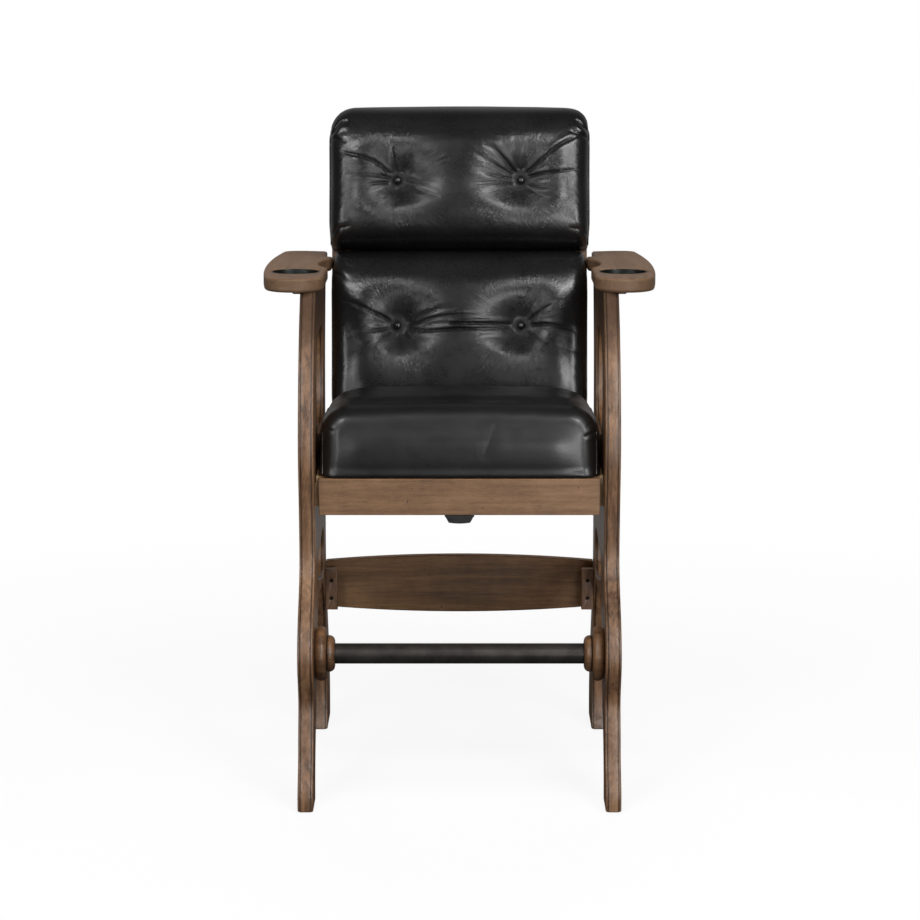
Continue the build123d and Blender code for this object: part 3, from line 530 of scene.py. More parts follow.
@dataclass(frozen=True)
class Fold:
    """A crease or soft fold in leather, along a given line on a cushion's face, in millimetres."""

    line: tuple[Place, ...]
    depth: float = 3.0
    width: float = 4.0
    ridge: float = 1.0
    side: int = 1
    both_ends: bool = False
    steps: int = 8

    def samples(self) -> np.ndarray:
        """Points along a smooth curve through the line.

        Returns:
            One point in each row, in millimetres.
        """
        points = np.array(self.line, float)
        padded = np.vstack([2 * points[0] - points[1], points, 2 * points[-1] - points[-2]])
        found = []
        for first, second, third, fourth in zip(padded, padded[1:], padded[2:], padded[3:]):
            for step in np.linspace(0.0, 1.0, self.steps, endpoint=False):
                found.append(0.5 * (2 * second + (third - first) * step
                                    + (2 * first - 5 * second + 4 * third - fourth) * step ** 2
                                    + (3 * second - first - 3 * third + fourth) * step ** 3))
        found.append(padded[-2])
        return np.array(found)

    def heights(self, flat: np.ndarray) -> np.ndarray:
        """How far the fold lifts or sinks each point.

        Args:
            flat: the points on the cushion's face, in millimetres.

        Returns:
            Heights in millimetres, positive outwards.
        """
        curve = self.samples()
        lift = np.zeros(len(flat))
        reach = 5.0 * self.width + 4.0
        low, high = curve.min(0) - reach, curve.max(0) + reach
        near = np.all((flat > low) & (flat < high), axis=1)
        if not near.any():
            return lift
        points = flat[near]
        starts, ways = curve[:-1], curve[1:] - curve[:-1]
        spans = np.maximum((ways ** 2).sum(1), 1e-9)
        along = np.clip(((points[:, None] - starts) * ways).sum(2) / spans, 0.0, 1.0)
        gap = points[:, None] - (starts + ways * along[:, :, None])
        distance = np.sqrt((gap ** 2).sum(2))
        best = distance.argmin(1)
        rows = np.arange(len(points))
        cross = ways[best, 0] * gap[rows, best, 1] - ways[best, 1] * gap[rows, best, 0]
        signed = distance[rows, best] * np.sign(cross) * self.side
        share = (best + along[rows, best]) / len(ways)
        # The fold fades towards both its ends, or starts at once and fades along its whole length.
        if self.both_ends:
            fade = np.sin(np.clip(share, 0.0, 1.0) * math.pi) ** 0.6
        else:
            fade = np.clip(share / 0.08, 0.0, 1.0) * (1.0 - share) ** 0.75
        # It grows wider along its length: a sharp valley with a crest beside it, and a lower one opposite.
        spread = self.width * (0.65 + 0.6 * share)
        valley = -1.25 * self.depth * np.exp(-(np.abs(signed) / (0.8 * spread)) ** 1.15)
        crest = self.ridge * bell(signed - 2.1 * spread, 1.5 * spread)
        far_crest = 0.55 * self.ridge * bell(signed + 2.3 * spread, 1.6 * spread)
        lift[near] = (valley + crest + far_crest) * fade
        return lift

    def beside(self, flat: np.ndarray) -> np.ndarray:
        """Which points lie close to the fold's line.

        Args:
            flat: the points on the cushion's face, in millimetres.

        Returns:
            One truth value for each point.
        """
        close = np.zeros(len(flat), bool)
        for sample in self.samples():
            close |= np.hypot(*(flat - sample).T) < 2.2 * self.width + 3.0
        return close


def only(piece: bpy.types.Object) -> None:
    """Makes a piece the only selected one, and the active one.

    Args:
        piece: the piece to select.
    """
    bpy.ops.object.select_all(action="DESELECT")
    piece.hide_set(False)
    piece.select_set(True)
    bpy.context.view_layer.objects.active = piece


def coordinates(mesh: bpy.types.Mesh) -> np.ndarray:
    """Vertex places of a mesh, one in each row.

    Args:
        mesh: the mesh to read.

    Returns:
        The places.
    """
    flat = np.empty(len(mesh.vertices) * 3)
    mesh.vertices.foreach_get("co", flat)
    return flat.reshape(-1, 3)


def place_vertices(mesh: bpy.types.Mesh, points: np.ndarray) -> None:
    """Writes vertex places back to a mesh."""
    mesh.vertices.foreach_set("co", np.ascontiguousarray(points, dtype=float).ravel())
    mesh.update()


def normals(mesh: bpy.types.Mesh) -> np.ndarray:
    """Vertex normals of a mesh, one in each row.

    Args:
        mesh: the mesh to read.

    Returns:
        The normals.
    """
    flat = np.empty(len(mesh.vertices) * 3)
    mesh.vertex_normals.foreach_get("vector", flat)
    return flat.reshape(-1, 3)


def surface_tree(mesh: bpy.types.Mesh) -> BVHTree:
    """Search tree of a mesh's faces."""
    faces = [tuple(polygon.vertices) for polygon in mesh.polygons]
    return BVHTree.FromPolygons([vertex.co for vertex in mesh.vertices], faces)


def merged_copy(name: str, node: str) -> bpy.types.Object:
    """Copies a CAD node's mesh to a new piece and merges its loose triangles.

    Args:
        name: name of the new piece.
        node: name of the CAD node.

    Returns:
        The new piece.
    """
    piece = bpy.data.objects.new(name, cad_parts[node].data.copy())
    piece.data.materials.clear()
    bpy.context.scene.collection.objects.link(piece)
    only(piece)
    bpy.ops.object.mode_set(mode="EDIT")
    bpy.ops.mesh.select_all(action="SELECT")
    bpy.ops.mesh.remove_doubles(threshold=MERGE_DISTANCE)
    bpy.ops.object.mode_set(mode="OBJECT")
    return piece


def dress(piece: bpy.types.Object, body: str, material: bpy.types.Material,
          replaced: tuple[str, ...] = ()) -> bpy.types.Object:
    """Gives a finished piece its material, body, slot and replaced nodes.

    Args:
        piece: the finished piece.
        body: the CAD body that it rides on.
        material: its finish.
        replaced: CAD nodes that it stands for.

    Returns:
        The same piece.
    """
    piece.data.materials.clear()
    piece.data.materials.append(material)
    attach(piece, body)
    if replaced:
        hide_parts(*replaced)
    LOG.info("%s: %d faces on %s", piece.name, len(piece.data.polygons), body)
    return piece


def smoothed(node: str, body: str, material: bpy.types.Material,
             angle: float = 32.0) -> bpy.types.Object:
    """Stands a merged, smoothly shaded copy in for a rigid CAD node.

    Args:
        node: the CAD node.
        body: the body that it rides on.
        material: its finish.
        angle: largest angle in degrees that is shaded smooth.

    Returns:
        The new piece.
    """
    piece = merged_copy(f"{node}_finished", node)
    bpy.ops.object.shade_smooth_by_angle(angle=math.radians(angle), keep_sharp_edges=False)
    weighting = piece.modifiers.new("face_weights", "WEIGHTED_NORMAL")
    weighting.keep_sharp = True
    weighting.weight = LARGE_FACES_FIRST
    bpy.ops.object.modifier_apply(modifier=weighting.name)
    return dress(piece, body, material, (node,))


def repaint(node: str, material: bpy.types.Material) -> None:
    """Gives a CAD node that stays a better material.

    Args:
        node: the CAD node.
        material: its finish.
    """
    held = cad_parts[node]
    for slot in held.material_slots:
        slot.material = material
    if not held.material_slots:
        held.data.materials.append(material)


@dataclass
class Finishes:
    """Every finish of the stool, made once."""

    stained: dict[Grain, bpy.types.Material] = field(default_factory=dict)
    drawer_wood: bpy.types.Material | None = None
    lightened_stretcher_wood: bpy.types.Material | None = None
    block_wood: bpy.types.Material | None = None
    turned_wood: bpy.types.Material | None = None
    armrest_wood: bpy.types.Material | None = None
    plain: dict[Grain, bpy.types.Material] = field(default_factory=dict)
    leather: bpy.types.Material | None = None
    seat_leather: bpy.types.Material | None = None
    button_leather: bpy.types.Material | None = None
    bronze: bpy.types.Material | None = None
    cup: bpy.types.Material | None = None
    plastic: bpy.types.Material | None = None
    steel: bpy.types.Material | None = None

    light: Colour = (0.255, 0.136, 0.066)
    middle: Colour = (0.168, 0.083, 0.037)
    dark: Colour = (0.062, 0.027, 0.010)
    beads: tuple[float, ...] = (0.2733, 0.2927)

    def make(self, buttons: tuple[Point, ...]) -> None:
        """Builds every material.

        Args:
            buttons: places of the buttons, from which the stretch lines run.
        """
        tones = {"light": self.light, "middle": self.middle, "dark": self.dark}
        for number, grain in enumerate(Grain):
            shift = (0.37 * number, 0.11, 0.23 * number)
            self.stained[grain] = Wood(
                f"stained_wood_{grain.name.lower()}", grain, shift=shift, figure=0.5, contrast=1.35,
                painted_shade_top=grain is Grain.UPRIGHT, lines=self.beads if grain is Grain.UPRIGHT else (),
                **tones).build()
            self.plain[grain] = Wood(
                f"plain_wood_{grain.name.lower()}", grain, (0.56, 0.40, 0.24), (0.43, 0.29, 0.16),
                (0.30, 0.19, 0.10), shift, glaze_and_shade=0.0, roughness=0.6, specular=0.25, lacquer=0.0).build()
        self.drawer_wood = Wood(
            "stained_wood_drawer", Grain.ACROSS, (0.255, 0.142, 0.071), (0.172, 0.090, 0.041),
            (0.078, 0.037, 0.015), (0.2, 0.4, 0.1), figure=0.3, contrast=0.85, fleck=0.35,
            lacquer=0.1).build()
        # Painted light: the stretcher's stain is lighter than the side boards', to make up for the seat's
        # shadow that falls on it.
        self.lightened_stretcher_wood = Wood(
            "stained_wood_stretcher", Grain.ACROSS, (0.280, 0.148, 0.060), (0.188, 0.092, 0.034),
            (0.078, 0.034, 0.012), (0.6, 0.1, 0.35), figure=0.6, contrast=0.9, roughness=0.5,
            lacquer=0.05).build()
        self.block_wood = Wood(
            "stained_wood_block", Grain.UPRIGHT, (0.215, 0.105, 0.046), (0.150, 0.070, 0.029),
            (0.075, 0.033, 0.013), (0.1, 0.2, 0.5), figure=0.4, contrast=0.9).build()
        self.turned_wood = Wood(
            "stained_wood_turned", Grain.ACROSS, (0.225, 0.112, 0.050), (0.140, 0.067, 0.028),
            (0.040, 0.018, 0.007), (0.3, 0.6, 0.2), figure=0.4, contrast=1.2, roughness=0.36).build()
        self.armrest_wood = Wood(
            "stained_wood_armrest", Grain.DEPTH, (0.225, 0.140, 0.085), (0.140, 0.082, 0.047),
            (0.058, 0.030, 0.015), (0.8, 0.5, 0.2), figure=0.3, contrast=0.45, roughness=0.5,
            specular=0.3, lacquer=0.05).build()
        self.leather = Leather("black_leather", pulls=buttons).build()
        self.seat_leather = Leather("black_leather_seat", roughness=0.36).build()
        self.button_leather = Leather("black_leather_trim", roughness=0.26).build()
        self.bronze = Metal("bronze_metal", (0.064, 0.058, 0.053), 0.38, 0.75).build()
        self.cup = Metal("cup_metal", (0.085, 0.092, 0.088), 0.42, 1.0, (600.0, 600.0, 600.0)).build()
        self.plastic = Plastic("dark_plastic", (0.012, 0.011, 0.011)).build()
        self.steel = Metal("steel", (0.020, 0.018, 0.017), 0.45, 1.0, (500.0, 500.0, 500.0)).build()


@dataclass
class WoodenFrame:
    """Side boards, armrests, stretcher, rosettes and the hidden frame of the seat and back."""

    finishes: Finishes

    def build(self) -> None:
        """Dresses every wooden piece that is fixed."""
        made = self.finishes
        for side, _ in SIDES:
            smoothed(f"{side}_side_frame", STOOL, made.stained[Grain.UPRIGHT])
            smoothed(f"{side}_armrest", STOOL, made.armrest_wood)
            smoothed(f"{side}_armrest_cleat", STOOL, made.stained[Grain.DEPTH])
            smoothed(f"{side}_footrest_rosette", STOOL, made.turned_wood)
            smoothed(f"{side}_stretcher_block", STOOL, made.block_wood)
            repaint(f"{side}_seat_rail", made.plain[Grain.DEPTH])
            repaint(f"{side}_drawer_runner", made.plain[Grain.DEPTH])
            smoothed(f"{side}_back_upright", STOOL, made.turned_wood)
        smoothed("rear_stretcher", STOOL, made.lightened_stretcher_wood)
        # The rails share the stretcher's stain, which is lightened as painted light.
        for node in ("rear_seat_rail", "back_top_rail", "back_middle_rail", "back_lower_rail"):
            repaint(node, made.lightened_stretcher_wood)
        for node in ("back_panel", "seat_deck"):
            repaint(node, made.plain[Grain.ACROSS])


@dataclass
class Drawer:
    """Shallow drawer under the seat, with its black finger pull."""

    finishes: Finishes

    def build(self) -> None:
        """Dresses the drawer's pieces."""
        made = self.finishes
        smoothed("drawer_front", DRAWER, made.drawer_wood)
        smoothed("drawer_pull", DRAWER, made.plastic)
        for node in ("left_drawer_side", "right_drawer_side"):
            repaint(node, made.plain[Grain.DEPTH])
        for node in ("drawer_back", "drawer_bottom"):
            repaint(node, made.plain[Grain.ACROSS])


@dataclass
class Fittings:
    """Footrest tube, cup wells, glides and fasteners."""

    finishes: Finishes

    def build(self) -> None:
        """Dresses the metal and plastic pieces."""
        made = self.finishes
        smoothed("footrest_tube", STOOL, made.bronze)
        smoothed("footrest_tube_plugs", STOOL, made.steel)
        for side, _ in SIDES:
            smoothed(f"{side}_cup_insert", STOOL, made.cup)
        smoothed("floor_glides", STOOL, made.plastic)
        for node in ("seat_frame_bolts", "footrest_bolts", "stretcher_bolts", "stretcher_block_screws",
                     "armrest_screws", "deck_screws", "back_frame_bolts"):
            smoothed(node, STOOL, made.steel)


@dataclass
class Cushion:
    """A stuffed leather cushion that swells from its CAD solid under inner pressure."""

    node: str
    voxel: float = 0.0045
    shrink: float = 0.003
    pressure: float = 4.0
    cap: float = 0.022
    proud: float = 0.0018
    sunk: float = 0.0030
    evening: int = 14
    frames: int = 20
    slack_room: float = 0.012
    least_cap: float = 0.12
    fill: float = 0.6
    folds: tuple[Fold, ...] = ()
    form: BVHTree | None = None

    def start(self) -> bpy.types.Object:
        """Copies the CAD solid, a little smaller, with an even mesh.

        Returns:
            The cushion before it swells.
        """
        piece = merged_copy(f"{self.node}_leather", self.node)
        self.plug(piece)
        self.form = surface_tree(piece.data)
        piece.data.remesh_voxel_size = self.voxel
        only(piece)
        bpy.ops.object.voxel_remesh()
        points = coordinates(piece.data) - normals(piece.data) * self.shrink * self.loose(piece.data)[:, None]
        place_vertices(piece.data, points)
        self.draw_in(piece)
        return piece

    def draw_in(self, piece: bpy.types.Object) -> None:
        """Draws parts of the leather in before it swells, in a cushion that has such parts."""

    def slack(self, points: np.ndarray) -> np.ndarray:
        """How far below its CAD solid the leather may lie at each point, in metres."""
        return np.full(len(points), self.sunk)

    def plug(self, piece: bpy.types.Object) -> None:
        """Fills narrow holes before the remesh, in a cushion that has them."""

    def loose(self, mesh: bpy.types.Mesh) -> np.ndarray:
        """How freely each vertex moves, from 0 where it is held to 1."""
        return np.ones(len(mesh.vertices))

    def swell(self, piece: bpy.types.Object) -> None:
        """Runs the cloth simulation under pressure and keeps its result, with each point's travel capped.

        Args:
            piece: the cushion.
        """
        scene = bpy.context.scene
        before = coordinates(piece.data)
        held = np.flatnonzero(self.loose(piece.data) < 0.5)
        group = piece.vertex_groups.new(name="held")
        group.add([int(v) for v in held], 1.0, "REPLACE")
        cloth = piece.modifiers.new("swelling", "CLOTH")
        cloth.settings.quality = 5
        cloth.settings.use_pressure = True
        cloth.settings.uniform_pressure_force = self.pressure
        cloth.settings.effector_weights.gravity = 0.0
        cloth.settings.vertex_group_mass = group.name
        cloth.collision_settings.use_collision = False
        for number in range(self.frames):
            scene.frame_set(number + 1)
        graph = bpy.context.evaluated_depsgraph_get()
        after = coordinates(piece.evaluated_get(graph).data)
        travel = after - before
        length = np.linalg.norm(travel, axis=1)
        spare = self.slack(before) - self.sunk
        cap = self.cap * np.clip(1.0 - spare / self.slack_room, self.least_cap, 1.0)
        share = np.minimum(1.0, cap / np.maximum(length, 1e-9))
        piece.modifiers.remove(cloth)
        scene.frame_set(1)
        piece.vertex_groups.clear()
        place_vertices(piece.data, before + travel * share[:, None])

    def settle(self, piece: bpy.types.Object) -> None:
        """Draws the leather back to the space of the CAD solid wherever it stands too proud or too deep.

        Args:
            piece: the cushion.
        """
        points = coordinates(piece.data)
        slack = self.slack(points)
        for number, point in enumerate(points):
            near, normal, _, distance = self.form.find_nearest(Vector(point))
            way = Vector(point) - near
            limit = self.proud if way.dot(normal) > 0 else slack[number]
            if distance > limit:
                points[number] = near + way * (limit / distance)
        place_vertices(piece.data, points)

    def evened(self, mesh: bpy.types.Mesh, moves: np.ndarray) -> np.ndarray:
        """Averages the moves of neighbouring vertices, so that no buckle is left.

        Args:
            mesh: the cushion's mesh.
            moves: one move for each vertex.

        Returns:
            The evened moves.
        """
        count = len(mesh.vertices)
        edges = np.empty(len(mesh.edges) * 2, dtype=np.int64)
        mesh.edges.foreach_get("vertices", edges)
        first, second = edges.reshape(-1, 2).T
        neighbours = np.maximum(np.bincount(edges, minlength=count), 1)
        for _ in range(self.evening):
            around = np.stack([np.bincount(first, moves[second, axis], count)
                               + np.bincount(second, moves[first, axis], count) for axis in range(3)], axis=1)
            moves = 0.4 * moves + 0.6 * around / neighbours[:, None]
        return moves

    def fold(self, piece: bpy.types.Object) -> None:
        """Presses the folds into the leather."""

    def face(self, points: np.ndarray) -> np.ndarray:
        """Places on the face that carries the folds, in millimetres."""
        return points[:, [0, 2]] / MM

    def front(self, points: np.ndarray, ways: np.ndarray) -> np.ndarray:
        """How squarely each point faces the folds' side."""
        return np.clip(-ways[:, 1], 0.0, 1.0) ** 0.7

    def refine(self, piece: bpy.types.Object) -> None:
        """Divides the faces beside the folds, so that the creases come out sharp.

        Args:
            piece: the cushion.
        """
        points = coordinates(piece.data)
        flat = self.face(points)
        close = np.zeros(len(points), bool)
        for fold in self.folds:
            close |= fold.beside(flat)
        close &= self.front(points, normals(piece.data)) > 0.3
        only(piece)
        bpy.ops.object.mode_set(mode="EDIT")
        bpy.ops.mesh.select_mode(type="VERT")
        bpy.ops.mesh.select_all(action="DESELECT")
        bpy.ops.object.mode_set(mode="OBJECT")
        piece.data.vertices.foreach_set("select", close)
        bpy.ops.object.mode_set(mode="EDIT")
        bpy.ops.mesh.select_mode(type="VERT")
        bpy.ops.mesh.subdivide(number_cuts=1, smoothness=0.0)
        bpy.ops.object.mode_set(mode="OBJECT")

    def relax(self, piece: bpy.types.Object) -> None:
        """Evens the mesh out and then makes it finer.

        Args:
            piece: the cushion.
        """
        only(piece)
        smoothing = piece.modifiers.new("even", "SMOOTH")
        smoothing.iterations = 4
        smoothing.factor = 0.5
        bpy.ops.object.modifier_apply(modifier=smoothing.name)
        finer = piece.modifiers.new("finer", "SUBSURF")
        finer.levels = 1
        finer.render_levels = 1
        bpy.ops.object.modifier_apply(modifier=finer.name)

    def build(self, material: bpy.types.Material) -> bpy.types.Object:
        """Makes the finished cushion.

        Args:
            material: its leather.

        Returns:
            The cushion.
        """
        piece = self.start()
        before = coordinates(piece.data)
        self.swell(piece)
        self.settle(piece)
        moves = self.evened(piece.data, coordinates(piece.data) - before)
        place_vertices(piece.data, before + moves)
        self.relax(piece)
        self.refine(piece)
        self.fold(piece)
        only(piece)
        bpy.ops.object.shade_smooth()
        dress(piece, STOOL, material, (self.node,))
        return piece


@dataclass
class BackCushion(Cushion):
    """A back roll with two buttoned tufts."""

    back: BackPlane = field(default_factory=BackPlane)
    button_rise: float = LOWER_BUTTONS_RISE
    seat_out: float = 0.0938
    face_out: float = 0.05
    rim: Place = (0.0345, 0.040)
    tie_radius: float = 0.006
    tie_span: float = 1.14
    tie_short: float = 0.002
    button_radius: float = 0.0085
    button_fades: Place = (12.0, 14.0)
    held_radius: float = 0.0095
    tuft_radius: float = 0.0365
    tuft_depth: float = 17.0
    funnel_start: float = 0.0075
    funnel_width: float = 0.0185
    held_outs: Place = (0.006, 0.022)
    hollow: float = 4.0
    hollow_rise: float = 36.0
    hollow_half: float = 190.0
    dimple_depth: float = 8.0
    dimple_width: float = 52.0
    corner_drops: Place = (0.0, 0.0)
    corner_sides: Place = (0.205, 0.055)
    corner_rises: Place = (0.055, 0.095)

    def button_places(self) -> list[np.ndarray]:
        """Local places of the two buttons."""
        return [np.array([side * BUTTON_SPREAD, self.button_rise, self.seat_out]) for _, side in SIDES]

    def from_buttons(self, local: np.ndarray) -> list[tuple[np.ndarray, np.ndarray]]:
        """Measures how far points lie from each button, across the back."""
        return [(place, np.hypot(local[:, 0] - place[0], local[:, 1] - place[1]))
                for place in self.button_places()]

    def plug(self, piece: bpy.types.Object) -> None:
        """Fills the round hollows and the ties' holes, so that the tufts can be drawn in anew.

        Args:
            piece: the cushion.
        """
        local = self.back.local(coordinates(piece.data))
        outside = local[:, 2] > self.face_out
        for place, away in self.from_buttons(local):
            rim = outside & (away > self.rim[0]) & (away < self.rim[1])
            design = np.c_[local[rim, :2] - place[:2], np.ones(rim.sum())]
            plane = np.linalg.lstsq(design, local[rim, 2], rcond=None)[0]
            inner = outside & (away < self.tuft_radius)
            local[inner, 2] = np.c_[local[inner, :2] - place[:2], np.ones(inner.sum())] @ plane
        place_vertices(piece.data, self.back.world(local))
        only(piece)
        bpy.ops.object.mode_set(mode="EDIT")
        for place in self.button_places():
            middle = place * np.array([1.0, 1.0, self.tie_span / 2])
            bpy.ops.mesh.primitive_cylinder_add(
                vertices=16, radius=self.tie_radius, depth=self.seat_out * self.tie_span - self.tie_short,
                location=tuple(self.back.world(middle[None])[0]),
                rotation=(math.pi / 2 - self.back.lean, 0.0, 0.0))
        bpy.ops.object.mode_set(mode="OBJECT")

    def loose(self, mesh: bpy.types.Mesh) -> np.ndarray:
        """Holds the rear face and the bottoms of the tufts.

        Args:
            mesh: the cushion's mesh.

        Returns:
            One share for each vertex.
        """
        local = self.back.local(coordinates(mesh))
        still, free = self.held_outs
        share = np.clip((local[:, 2] - still) / (free - still), 0.0, 1.0)
        for _, away in self.from_buttons(local):
            share[(away < self.held_radius) & (local[:, 2] > self.face_out)] = 0.0
        return share

    def funnel(self, away: np.ndarray) -> np.ndarray:
        """Depth of a tuft at a distance from its button, in millimetres."""
        gap = np.maximum(away - self.funnel_start, 0.0)
        return self.tuft_depth * np.exp(-(gap / self.funnel_width) ** 1.05)

    def draw_in(self, piece: bpy.types.Object) -> None:
        """Pulls the leather in to the two buttons.

        Args:
            piece: the cushion.
        """
        local = self.back.local(coordinates(piece.data))
        outside = local[:, 2] > self.face_out
        for _, away in self.from_buttons(local):
            local[:, 2] -= np.where(outside, self.funnel(away), 0.0) * MM
            middle = outside & (away < self.button_radius)
            local[middle, 2] = np.minimum(local[middle, 2], self.seat_out)
        place_vertices(piece.data, self.back.world(local))

    def slack(self, points: np.ndarray) -> np.ndarray:
        """Lets the leather lie deeper round the buttons.

        Args:
            points: one place in each row.

        Returns:
            One depth for each point.
        """
        local = self.back.local(points)
        depth = np.full(len(points), self.sunk)
        for _, away in self.from_buttons(local):
            depth += np.where(local[:, 2] > self.face_out, self.funnel(away) * MM * 1.05, 0.0)
        return depth

    def face(self, points: np.ndarray) -> np.ndarray:
        """Places across and up the back, in millimetres."""
        return self.back.local(points)[:, :2] / MM

    def front(self, points: np.ndarray, ways: np.ndarray) -> np.ndarray:
        """How squarely each point faces out from the back.

        Args:
            points: one place in each row.
            ways: their normals.

        Returns:
            One share for each point.
        """
        facing = np.clip(ways @ self.back.axes()[2], 0.0, 1.0) ** 0.5
        facing[self.back.local(points)[:, 2] < 0.02] = 0.0
        return facing

    def fold(self, piece: bpy.types.Object) -> None:
        """Widens the tufts and presses the folds into the roll's face.

        Args:
            piece: the cushion.
        """
        points = coordinates(piece.data)
        facing = self.front(points, normals(piece.data))
        flat = self.face(points)
        lift = -self.hollow * bell(flat[:, 1] - self.button_rise / MM, self.hollow_rise)
        lift *= np.exp(-(flat[:, 0] / self.hollow_half) ** 4)
        hollow_fade, dimple_fade = self.button_fades
        for place in self.button_places():
            away = np.hypot(*(flat - place[:2] / MM).T)
            lift *= 1.0 - bell(away, hollow_fade)
            lift -= self.dimple_depth * bell(away, self.dimple_width) * (1.0 - bell(away, dimple_fade))
        for fold in self.folds:
            lift += fold.heights(flat)
        local = self.back.local(points)
        local[:, 2] += lift * facing * MM
        drop = np.where(local[:, 0] < 0.0, *self.corner_drops)
        (side_start, side_width), (rise_start, rise_width) = self.corner_sides, self.corner_rises
        aside = np.clip((np.abs(local[:, 0]) - side_start) / side_width, 0.0, 1.0)
        above = np.clip((local[:, 1] - self.button_rise - rise_start) / rise_width, 0.0, 1.0)
        local[:, 1] -= drop * aside ** 2 * above
        place_vertices(piece.data, self.back.world(local))


@dataclass
class SeatCushion(Cushion):
    """The deep seat, with its front roll and gathered corners."""

    roll: float = 0.012
    roll_start: Place = (-0.125, 0.620)
    roll_end: Place = (-0.2275, 0.7445)
    roll_power: float = 1.25
    foot: float = 0.603
    held_height: float = 0.012

    def loose(self, mesh: bpy.types.Mesh) -> np.ndarray:
        """Holds the underside."""
        return np.clip((coordinates(mesh)[:, 2] - self.foot) / self.held_height, 0.0, 1.0)

    def rolled(self, points: np.ndarray) -> np.ndarray:
        """How far the leather is drawn in over the front edge, which makes its roll broader.

        Args:
            points: one place in each row.

        Returns:
            One depth for each point, in metres.
        """
        (rear, foot), (front, top) = self.roll_start, self.roll_end
        ahead = np.clip((points[:, 1] - rear) / (front - rear), 0.0, 1.0)
        above = np.clip((points[:, 2] - foot) / (top - foot), 0.0, 1.0)
        return self.roll * (ahead * above) ** self.roll_power

    def draw_in(self, piece: bpy.types.Object) -> None:
        """Draws the front edge in."""
        points = coordinates(piece.data)
        place_vertices(piece.data, points - normals(piece.data) * self.rolled(points)[:, None])

    def slack(self, points: np.ndarray) -> np.ndarray:
        """Lets the leather lie deeper over the front edge."""
        return self.sunk + self.rolled(points)

    def fold(self, piece: bpy.types.Object) -> None:
        """Presses the folds into the front face.

        Args:
            piece: the cushion.
        """
        points = coordinates(piece.data)
        ways = normals(piece.data)
        facing = self.front(points, ways)
        flat = self.face(points)
        lift = np.zeros(len(flat))
        for fold in self.folds:
            lift += fold.heights(flat)
        points += ways * (lift * facing * MM)[:, None]
        place_vertices(piece.data, points)


UPPER_FOLDS = (
    Fold(((-138.0, 521.0), (-158.5, 539.7), (-186.1, 553.5), (-217.6, 561.4), (-240.0, 569.0)),
         4.5, 3.6, 1.8, 1),
    Fold(((-132.9, 513.3), (-146.7, 516.0), (-186.1, 520.0), (-229.4, 518.8)), 3.2, 3.0, 1.4, 1),
    Fold(((-138.8, 506.0), (-170.3, 502.2), (-191.9, 498.2)), 2.6, 3.2, 1.4, -1),
    Fold(((-126.0, 524.0), (-129.5, 545.0), (-134.0, 575.0), (-139.0, 598.0)), 3.4, 4.5, 2.2, 1),
    Fold(((-113.0, 522.0), (-104.0, 540.0), (-92.0, 560.0)), 2.4, 6.0, 1.0, -1),
    Fold(((-108.0, 511.0), (-91.5, 508.1), (-44.3, 502.2)), 1.6, 4.0, 0.9, 1),
    Fold(((-110.0, 503.0), (-75.8, 487.3), (-36.4, 474.5)), 1.6, 4.0, 0.9, 1),
    Fold(((-122.0, 497.0), (-126.0, 470.0), (-138.0, 445.0)), 1.2, 6.0, 0.6, 1),
    Fold(((130.0, 521.0), (160.5, 547.6), (192.0, 575.3), (223.6, 593.1), (246.0, 601.0)),
         4.2, 3.4, 1.8, 1),
    Fold(((132.9, 516.0), (168.4, 523.1), (207.8, 527.1), (242.0, 532.0)), 3.6, 3.0, 1.6, 1),
    Fold(((112.0, 521.0), (89.6, 547.6), (69.9, 567.4), (46.3, 577.2)), 3.4, 4.6, 2.0, -1),
    Fold(((116.0, 530.0), (111.3, 549.7), (107.4, 603.0)), 2.4, 4.2, 1.2, 1),
    Fold(((126.0, 530.0), (131.0, 551.6), (137.0, 597.0)), 2.4, 4.2, 1.2, 1),
    Fold(((108.0, 518.0), (73.9, 535.8), (26.6, 563.4)), 2.2, 4.2, 1.2, 1),
    Fold(((107.0, 512.0), (69.9, 518.0), (22.7, 531.8)), 2.0, 4.0, 1.1, 1),
    Fold(((107.0, 506.0), (69.9, 505.1), (20.6, 498.2)), 2.0, 4.0, 1.1, 1),
    Fold(((134.0, 503.0), (165.0, 496.0), (205.0, 497.0)), 1.8, 3.6, 1.0, 1),
    Fold(((130.0, 497.0), (160.0, 480.0), (196.0, 474.0)), 1.4, 4.4, 0.8, 1),
    Fold(((-258.0, 606.0), (-249.2, 614.8), (-235.4, 627.0), (-216.0, 629.0)), 5.0, 4.4, 2.6, -1, True),
    Fold(((-258.0, 599.0), (-246.2, 597.0), (-222.5, 583.2)), 4.2, 4.0, 2.2, 1),
    Fold(((258.0, 608.0), (249.2, 618.8), (226.6, 634.6)), 5.0, 4.4, 2.6, 1, True),
    Fold(((258.0, 596.0), (244.2, 600.0), (215.6, 606.9)), 4.2, 4.0, 2.2, -1),
    Fold(((-256.0, 402.0), (-238.0, 414.0), (-212.0, 420.0)), 3.0, 5.0, 1.4, 1),
    Fold(((256.0, 402.0), (240.0, 412.0), (214.0, 416.0)), 3.0, 5.0, 1.4, -1),
)

